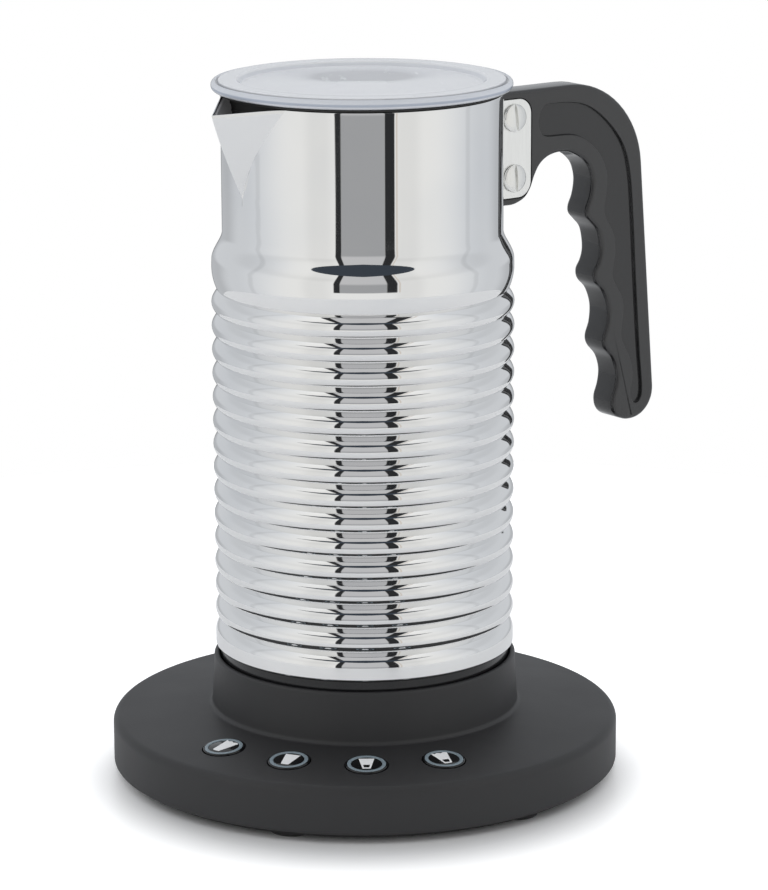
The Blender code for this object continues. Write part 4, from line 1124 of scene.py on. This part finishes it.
def spindle():
    floor = CUP_BOTTOM + CUP_WALL + GAP
    tip = SPINDLE_TIP
    outline = [(0, floor), (5, floor), (5, floor + 0.6), (4.7, floor + 0.9), (3, floor + 1.3),
               (3, tip - 3), (2.8, tip - 2.8), (2.8, tip - 2.4), (3, tip - 2.2), (3, tip - 0.8),
               (2.2, tip), (0, tip)]
    piece("spindle_pin", spun(outline, 64), WIRE, "jug", "whisk_spindle")


cup()
skirt()
spindle()

# %% [markdown]
# The handle is a moulded lever whose inner side is scalloped for the fingers. Its side view is
# an outline of straight runs, arcs and three scallops. Lofting smaller copies of it towards the
# two faces gives evenly rounded edges. A shallow panel with sloping walls is then sunk into each
# face, and pockets are cut for the steel bracket.

# %% Handle
HANDLE_ROOT = 41.1
HANDLE_TOP = high("handle")
CHEEK_THICKNESS = 1.2
CHEEK_END = 56.6
CHEEK_LOW = 159.1
CHEEK_HIGH = 187.4
EDGE_ROUND = 1.3
PANEL_DEPTH = 0.9
PIN_HOLE = 1.8                     # radius of the screw holes


def filleted(corners, steps=10):
    """An outline from (x, y, fillet radius) corners."""
    outline = []
    for index, (x, y, radius) in enumerate(corners):
        if radius == 0:
            outline.append((x, y))
            continue
        before = corners[index - 1]
        after = corners[(index + 1) % len(corners)]
        to_before = math.atan2(before[1] - y, before[0] - x)
        to_after = math.atan2(after[1] - y, after[0] - x)
        opening = (to_after - to_before + math.pi) % math.tau - math.pi
        reach = radius / math.sin(abs(opening) / 2)
        middle = to_before + opening / 2
        centre = (x + reach * math.cos(middle), y + reach * math.sin(middle))
        sweep = (math.pi - abs(opening)) * math.copysign(1, opening)
        first = to_before - math.copysign(math.pi / 2, opening)
        for step in range(steps + 1):
            angle = first - sweep * step / steps
            outline.append((centre[0] + radius * math.cos(angle), centre[1] + radius * math.sin(angle)))
    return outline


def evenly(outline, spacing):
    """The closed outline again, with points at even spacing along it."""
    closed = [Vector(point) for point in outline] + [Vector(outline[0])]
    lengths = [(b - a).length for a, b in zip(closed, closed[1:])]
    count = round(sum(lengths) / spacing)
    stride = sum(lengths) / count
    points = []
    index = 0
    passed = 0.0
    for number in range(count):
        target = number * stride
        while passed + lengths[index] < target:
            passed += lengths[index]
            index += 1
        share = (target - passed) / lengths[index]
        points.append(closed[index].lerp(closed[index + 1], share))
    return points


def inset(points, distance):
    """The closed outline moved inwards. Where a tight corner would make it cross itself, the
    points that come too near the outline are spread between their good neighbours instead."""
    area = sum(a.x * b.y - b.x * a.y for a, b in zip(points, points[1:] + points[:1]))
    side = math.copysign(1, area)
    count = len(points)
    moved = []
    for index, point in enumerate(points):
        along = (points[(index + 1) % count] - points[index - 1]).normalized()
        moved.append(point + Vector((-along.y, along.x)) * side * distance)
    least = abs(distance) * 0.97
    good = [min((spot - point).length for point in points) >= least for spot in moved]
    for index in range(count):
        if not good[index]:
            before = next(step for step in range(1, count) if good[index - step])
            after = next(step for step in range(1, count) if good[(index + step) % count])
            first = moved[index - before]
            last = moved[(index + after) % count]
            moved[index] = first.lerp(last, before / (before + after))
            good[index] = True
    return moved


def slab(points, half, rounding, steps=5):
    """A flat body with rounded edges, standing in the XZ plane."""
    levels = []
    for step in range(steps + 1):
        angle = math.pi / 2 * step / steps
        levels.append((rounding * (1 - math.cos(angle)), half - rounding * (1 - math.sin(angle))))
    levels.append((rounding + 0.3, half))
    sections = []
    for distance, level in reversed(levels):
        sections.append([(p.x, -level, p.y) for p in inset(points, distance)])
    for distance, level in levels:
        sections.append([(p.x, level, p.y) for p in inset(points, distance)])
    return lofted(sections)


def prism(outline, low_end, high_end):
    """A straight body in the XZ plane, from one Y to another."""
    return lofted([[(x, y, z) for x, z in outline] for y in (low_end, high_end)])


def inner_line():
    """Underside of the lobe, the arch, and the grip with its rounded ridges between the fingers."""
    return smooth_line([(47.6, 157.0), (51.1, 157.1), (54.8, 158.6), (57.0, 161.3), (58.4, 164.6),
                        (60.3, 167.6), (63.2, 169.6), (67.0, 170.5), (70.6, 170.3), (73.4, 169.3),
                        (75.9, 167.9), (78.3, 165.5), (79.5, 162.4), (79.7, 159.5), (79.0, 156.0),
                        (77.7, 153.0), (77.8, 150.7), (79.7, 148.7), (82.0, 146.2), (83.0, 142.7),
                        (83.2, 139.2), (82.4, 136.4), (80.9, 133.8), (81.4, 130.8), (84.4, 127.7),
                        (86.3, 122.8), (86.1, 117.6), (84.7, 113.6), (85.3, 110.6), (88.5, 107.0),
                        (90.0, 102.7), (89.6, 98.5), (88.3, 94.7), (88.7, 91.4), (90.6, 89.2),
                        (94.0, 87.9)], 6)


def handle_outline():
    outer = filleted([(96.0, 87.8, 0), (105.2, 87.2, 8.5), (96.8, HANDLE_TOP, 27),
                      (HANDLE_ROOT, HANDLE_TOP, 0)], 16)
    return [(HANDLE_ROOT, 157.0), *inner_line(), *outer]


def panel_outline():
    """The sunk panel: it follows the arch, the outer edge and, more calmly, the scallops."""
    return smooth_line([(59.4, 180.2), (60.6, 183.6), (63.8, 184.9), (75.4, 183.9), (84.0, 178.9),
                        (91.0, 170.9), (94.0, 161.8), (95.4, 148.0), (96.6, 130.9), (98.3, 109.9),
                        (99.6, 97.0), (98.6, 93.2), (96.6, 93.0), (95.3, 96.2), (96.2, 101.1),
                        (95.0, 106.6), (91.6, 113.2), (92.3, 120.0), (91.6, 125.4), (88.0, 131.8),
                        (88.9, 138.8), (88.0, 144.8), (84.6, 151.0), (85.3, 157.6), (85.2, 163.3),
                        (81.5, 169.9), (73.6, 174.9), (62.6, 175.7), (60.2, 177.4), (59.4, 180.2)],
                       5)[:-1]


def cheek_outline(margin):
    corner = 4.5 + margin
    start = NECK_RADIUS - 6
    return filleted([(start, CHEEK_LOW - margin, 0), (CHEEK_END + margin, CHEEK_LOW - margin, corner),
                     (CHEEK_END + margin, CHEEK_HIGH + margin, corner), (start, CHEEK_HIGH + margin, 0)])


def handle():
    body = slab(evenly(handle_outline(), 0.7), HANDLE_HALF, EDGE_ROUND)
    tongue = HANDLE_HALF - CHEEK_THICKNESS - GAP
    loop = [Vector(point) for point in panel_outline()]
    cutters = []
    for side in (-1, 1):
        cutters.append(prism(cheek_outline(GAP), side * tongue, side * 12))
        wide = inset(loop, -0.3)
        narrow = inset(loop, 0.15)
        cutters.append(lofted([[(p.x, side * (HANDLE_HALF + 0.4), p.y) for p in wide],
                               [(p.x, side * (HANDLE_HALF - PANEL_DEPTH), p.y) for p in narrow]]))
    body = carved(body, cutters + pin_holes())
    body.transform(HANDLE_TURN)
    piece("grip", body, HANDLE_BLACK, "jug", "handle", sharp=32)


# %% [markdown]
# A folded steel bracket holds the handle, with a slotted screw through each end. The heads are
# slightly domed, their slots are cut at a casual angle, and a broad nut closes the other side.

# %% Bracket and screws
SCREW_DISTANCE = 50.3
SCREW_HEIGHTS = (182.1, 164.8)
HEAD_RADIUS = 4.0
HEAD_ROUND = 0.06
SLOT_HALF = 0.5
SLOT_SPINS = (0.12, 0.07)          # radians each slot is turned
KEY_RADIUS = 1.5                   # hexagon socket in the nuts


def across(bm, height, spin=0.0):
    """Lay a turned part across the handle, at one of the screws, its head to the front."""
    bm.transform(Matrix.Translation((SCREW_DISTANCE, 0, height)) @ Matrix.Rotation(math.pi / 2, 4, "X")
                 @ Matrix.Rotation(spin, 4, "Z"))
    return bm


def pin_holes():
    drill = [(0, -9), (PIN_HOLE, -9), (PIN_HOLE, 9), (0, 9)]
    return [across(spun(drill, 32), height) for height in SCREW_HEIGHTS]


def bracket():
    web = NECK_RADIUS + GAP
    half = HANDLE_HALF
    lean = math.degrees(math.asin(half / web))
    outline = arc((0, 0), web, lean, -lean, 6)
    face = half - CHEEK_THICKNESS
    fold = web + CHEEK_THICKNESS
    outline += [(CHEEK_END, -half), (CHEEK_END, -face), (fold, -face), (fold, face), (CHEEK_END, face),
                (CHEEK_END, half)]
    folded = extruded(outline, CHEEK_LOW, CHEEK_HIGH)
    trimmed = carved(folded, [prism(cheek_outline(0), -10, 10)], "INTERSECT")
    drilled = carved(trimmed, pin_holes(), rounding=0.18)
    drilled.transform(HANDLE_TURN)
    piece("folded_bracket", drilled, BRACKET, "jug", "handle_bracket")


def dome(base, rise):
    """Section of a domed head, from its edge almost to its middle."""
    angles = [math.radians(angle) for angle in range(0, 90, 9)]
    return [(HEAD_RADIUS * math.cos(angle), base + rise * math.sin(angle)) for angle in angles]


def handle_screws():
    seat = HANDLE_HALF + 0.1
    for label, height, spin in zip(("upper", "lower"), SCREW_HEIGHTS, SLOT_SPINS):
        outline = [(0, -5.5), (1.4, -5.5), (1.4, seat), (HEAD_RADIUS - 0.1, seat), *dome(seat + 0.4, 0.8),
                   (0, seat + 1.2)]
        slot = extruded(rectangle(SLOT_HALF, 6), seat + 0.45, seat + 3)
        screw = carved(across(spun(outline, 96), height, spin), [across(slot, height, spin)],
                       rounding=HEAD_ROUND)
        screw.transform(HANDLE_TURN)
        piece(f"slotted_screw_{label}", screw, FASTENER, "jug", f"handle_screw_{label}")
        outline = [(0, -seat - 0.7), (1.7, -seat - 0.7), (1.7, -seat), (HEAD_RADIUS, -seat),
                   *dome(-seat - 0.5, -0.9), (0, -seat - 1.4)]
        key = [on_circle(KEY_RADIUS, angle).xy for angle in around(6)]
        socket = extruded(key, -seat - 3, -seat - 0.95)
        nut = carved(across(spun(outline, 96), height), [across(socket, height)], rounding=HEAD_ROUND)
        nut.transform(HANDLE_TURN)
        piece(f"barrel_nut_{label}", nut, FASTENER, "jug", f"handle_nut_{label}")


handle()
bracket()
handle_screws()

# %% [markdown]
# The whisk is a magnetic hub that turns on the pin, with a wire spring coiled round a ring on
# top of it. The spring is a helix bent round a circle, worked out by a loop and swept.

# %% Whisk
RING_RADIUS = 14.0
RING_HEIGHT = 44.0
SPRING_TURNS = 64
SPRING_RADIUS = 1.2
SPRING_WIRE = 0.24
CORE_WIRE = 0.6
ARM_WIRE = 0.55
MAGNET_PLACE = 9
POCKET_RADIUS = 2.4
CAP_LOW = low("whisk_frame")


def whisk():
    bottom = low("whisk_hub")
    top = high("whisk_hub")
    hub = [(0, 40.8), (3.4, 40.8), (3.4, 30), (5.6, 29), (5.6, bottom), (11.8, bottom),
           *arc((11.8, bottom + 0.6), 0.6, -90, 0, 4), (12.4, 32.0), (12.1, 32.4), (6.4, 33.8),
           *arc((6.4, 35.2), 1.4, 270, 180, 5), (5, top - 0.4), (4.6, top), (0, top)]
    pockets = []
    for place in (MAGNET_PLACE, -MAGNET_PLACE):
        pocket = spun([(0, bottom - 1), (POCKET_RADIUS, bottom - 1), (POCKET_RADIUS, bottom + 2.2),
                       (0, bottom + 2.2)], 32)
        pocket.transform(Matrix.Translation((place, 0, 0)))
        pockets.append(pocket)
    piece("magnet_hub", carved(spun(hub, 96), pockets), WHISK_BLACK, "whisk_rotor", "whisk_hub")


def whisk_ring():
    spring = []
    for angle in around(SPRING_TURNS * 12):
        roll = angle * SPRING_TURNS
        radius = RING_RADIUS + SPRING_RADIUS * math.cos(roll)
        spring.append(on_circle(radius, angle, RING_HEIGHT + SPRING_RADIUS * math.sin(roll)))
    piece("whisk_spring", swept(spring, SPRING_WIRE, 7, ring=True), WIRE, "whisk_top")
    circle = [on_circle(RING_RADIUS, angle, RING_HEIGHT) for angle in around(96)]
    piece("whisk_core_ring", swept(circle, CORE_WIRE, 12, ring=True), WIRE, "whisk_top", "whisk_frame")
    for index in range(2):
        ray = on_circle(1, math.radians(90 * index + 10))
        level = Vector((0, 0, CAP_LOW + 1.2))
        path = [ray * reach + level for reach in between(-RING_RADIUS, RING_RADIUS, 12)]
        piece(f"whisk_arm_{index + 1}", swept(path, ARM_WIRE, 12), WIRE, "whisk_top")
    cap = [(0, CAP_LOW), (5.6, CAP_LOW), (6, CAP_LOW + 0.4), *arc((5.2, CAP_LOW + 1.6), 0.8, 0, 90, 5),
           (0, CAP_LOW + 2.4)]
    piece("whisk_cap", spun(cap, 64), WHISK_BLACK, "whisk_top")


whisk()
whisk_ring()

# %% [markdown]
# The lid is a moulded disc with a fat rounded rim, a shallow recess in its top and a plug that
# carries a rubber seal. A round pad, raised a little in the middle, marks where to press.

# %% Lid
PLATE_TOP = 196.1
PLUG_RADIUS = 35.7
PLUG_ROUND = 0.5
SEAL_EDGE = 39.6
PAD_RADIUS = 7.0
PAD_RISE = 0.15


def lid():
    pad = PLATE_TOP + PAD_RISE
    outline = [(0, pad), (PAD_RADIUS - 0.4, pad), (PAD_RADIUS, PLATE_TOP), (RECESS_RADIUS - 1.4, PLATE_TOP)]
    outline += arc((RECESS_RADIUS - 1.2, PLATE_TOP + 0.7), 0.7, -90, -20, 5)
    outline += arc((RECESS_RADIUS + 0.9, LID_TOP - 0.7), 0.7, 160, 90, 6)
    outline += arc((LID_RADIUS - 2.5, LID_TOP - 0.5), 0.5, 90, 10, 5)
    outline += arc((LID_RADIUS - 1.7, LID_TOP - 0.65), 0.25, 200, 270, 4)
    outline += arc((LID_RADIUS - 1.45, LID_BOTTOM + 1.45), 1.45, 62, -90, 16)
    outline += [(LID_RADIUS - 2.2, LID_BOTTOM), (PLUG_RADIUS + 0.1, LID_BOTTOM)]
    foot = PLUG_BOTTOM + PLUG_ROUND
    outline += [(PLUG_RADIUS, LID_BOTTOM - 0.1)]
    outline += arc((PLUG_RADIUS - PLUG_ROUND, foot), PLUG_ROUND, 0, -90, 4)
    outline += arc((PLUG_RADIUS - 3 * PLUG_ROUND, foot), PLUG_ROUND, -90, -180, 4)
    outline += [(PLUG_RADIUS - 2, LID_BOTTOM), (0, LID_BOTTOM)]
    piece("clear_lid", spun(outline, 256), LID, "lid", "lid_cap", sharp=50)
    inner = PLUG_RADIUS + SEAL_GAP
    bottom = JUG_RIM + SEAL_GAP
    top = LID_BOTTOM - SEAL_GAP
    wall = inner + 0.6
    seal = [(inner, 188), (wall, 188.4), (wall, 189.5), (wall + 0.6, 190.0), (wall, 190.5), (wall, bottom),
            (SEAL_EDGE, bottom), (SEAL_EDGE + 0.2, (bottom + top) / 2), (SEAL_EDGE, top), (inner, top)]
    piece("rubber_seal", spun(seal), RUBBER, "lid", "lid_seal")


lid()

# %% [markdown]
# The pieces inside the base are seen only when it is opened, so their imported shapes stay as
# they are. Each still gets its own finish, by name.

# %% Finishes of the inner parts
INNER = {"coil_carrier": INNER_GREY, "induction_coil": COPPER, "ferrite_bar": FERRITE, "motor": MOTOR_STEEL,
         "circuit_board": BOARD, "switch": SWITCH_BLACK, "drive_disc": INNER_GREY, "drive_magnet": MAGNET,
         "whisk_magnet": MAGNET, "heating_disc": MOTOR_STEEL}


def dress_inner_parts():
    dressed = 0
    for name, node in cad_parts.items():
        for start, material in INNER.items():
            if name.startswith(start):
                node.data.materials.clear()
                node.data.materials.append(material)
                dressed += 1
    return dressed


print("inner parts dressed:", dress_inner_parts())

# %% [markdown]
# The last step prints the finished model's box beside the imported one.

# %% Sizes and finish
visual_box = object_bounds()
sizes = {"cad": [list(corner) for corner in cad_box], "visual": [list(corner) for corner in visual_box]}
for name, box in sizes.items():
    print(name, [[round(value / MM, 1) for value in corner] for corner in box])
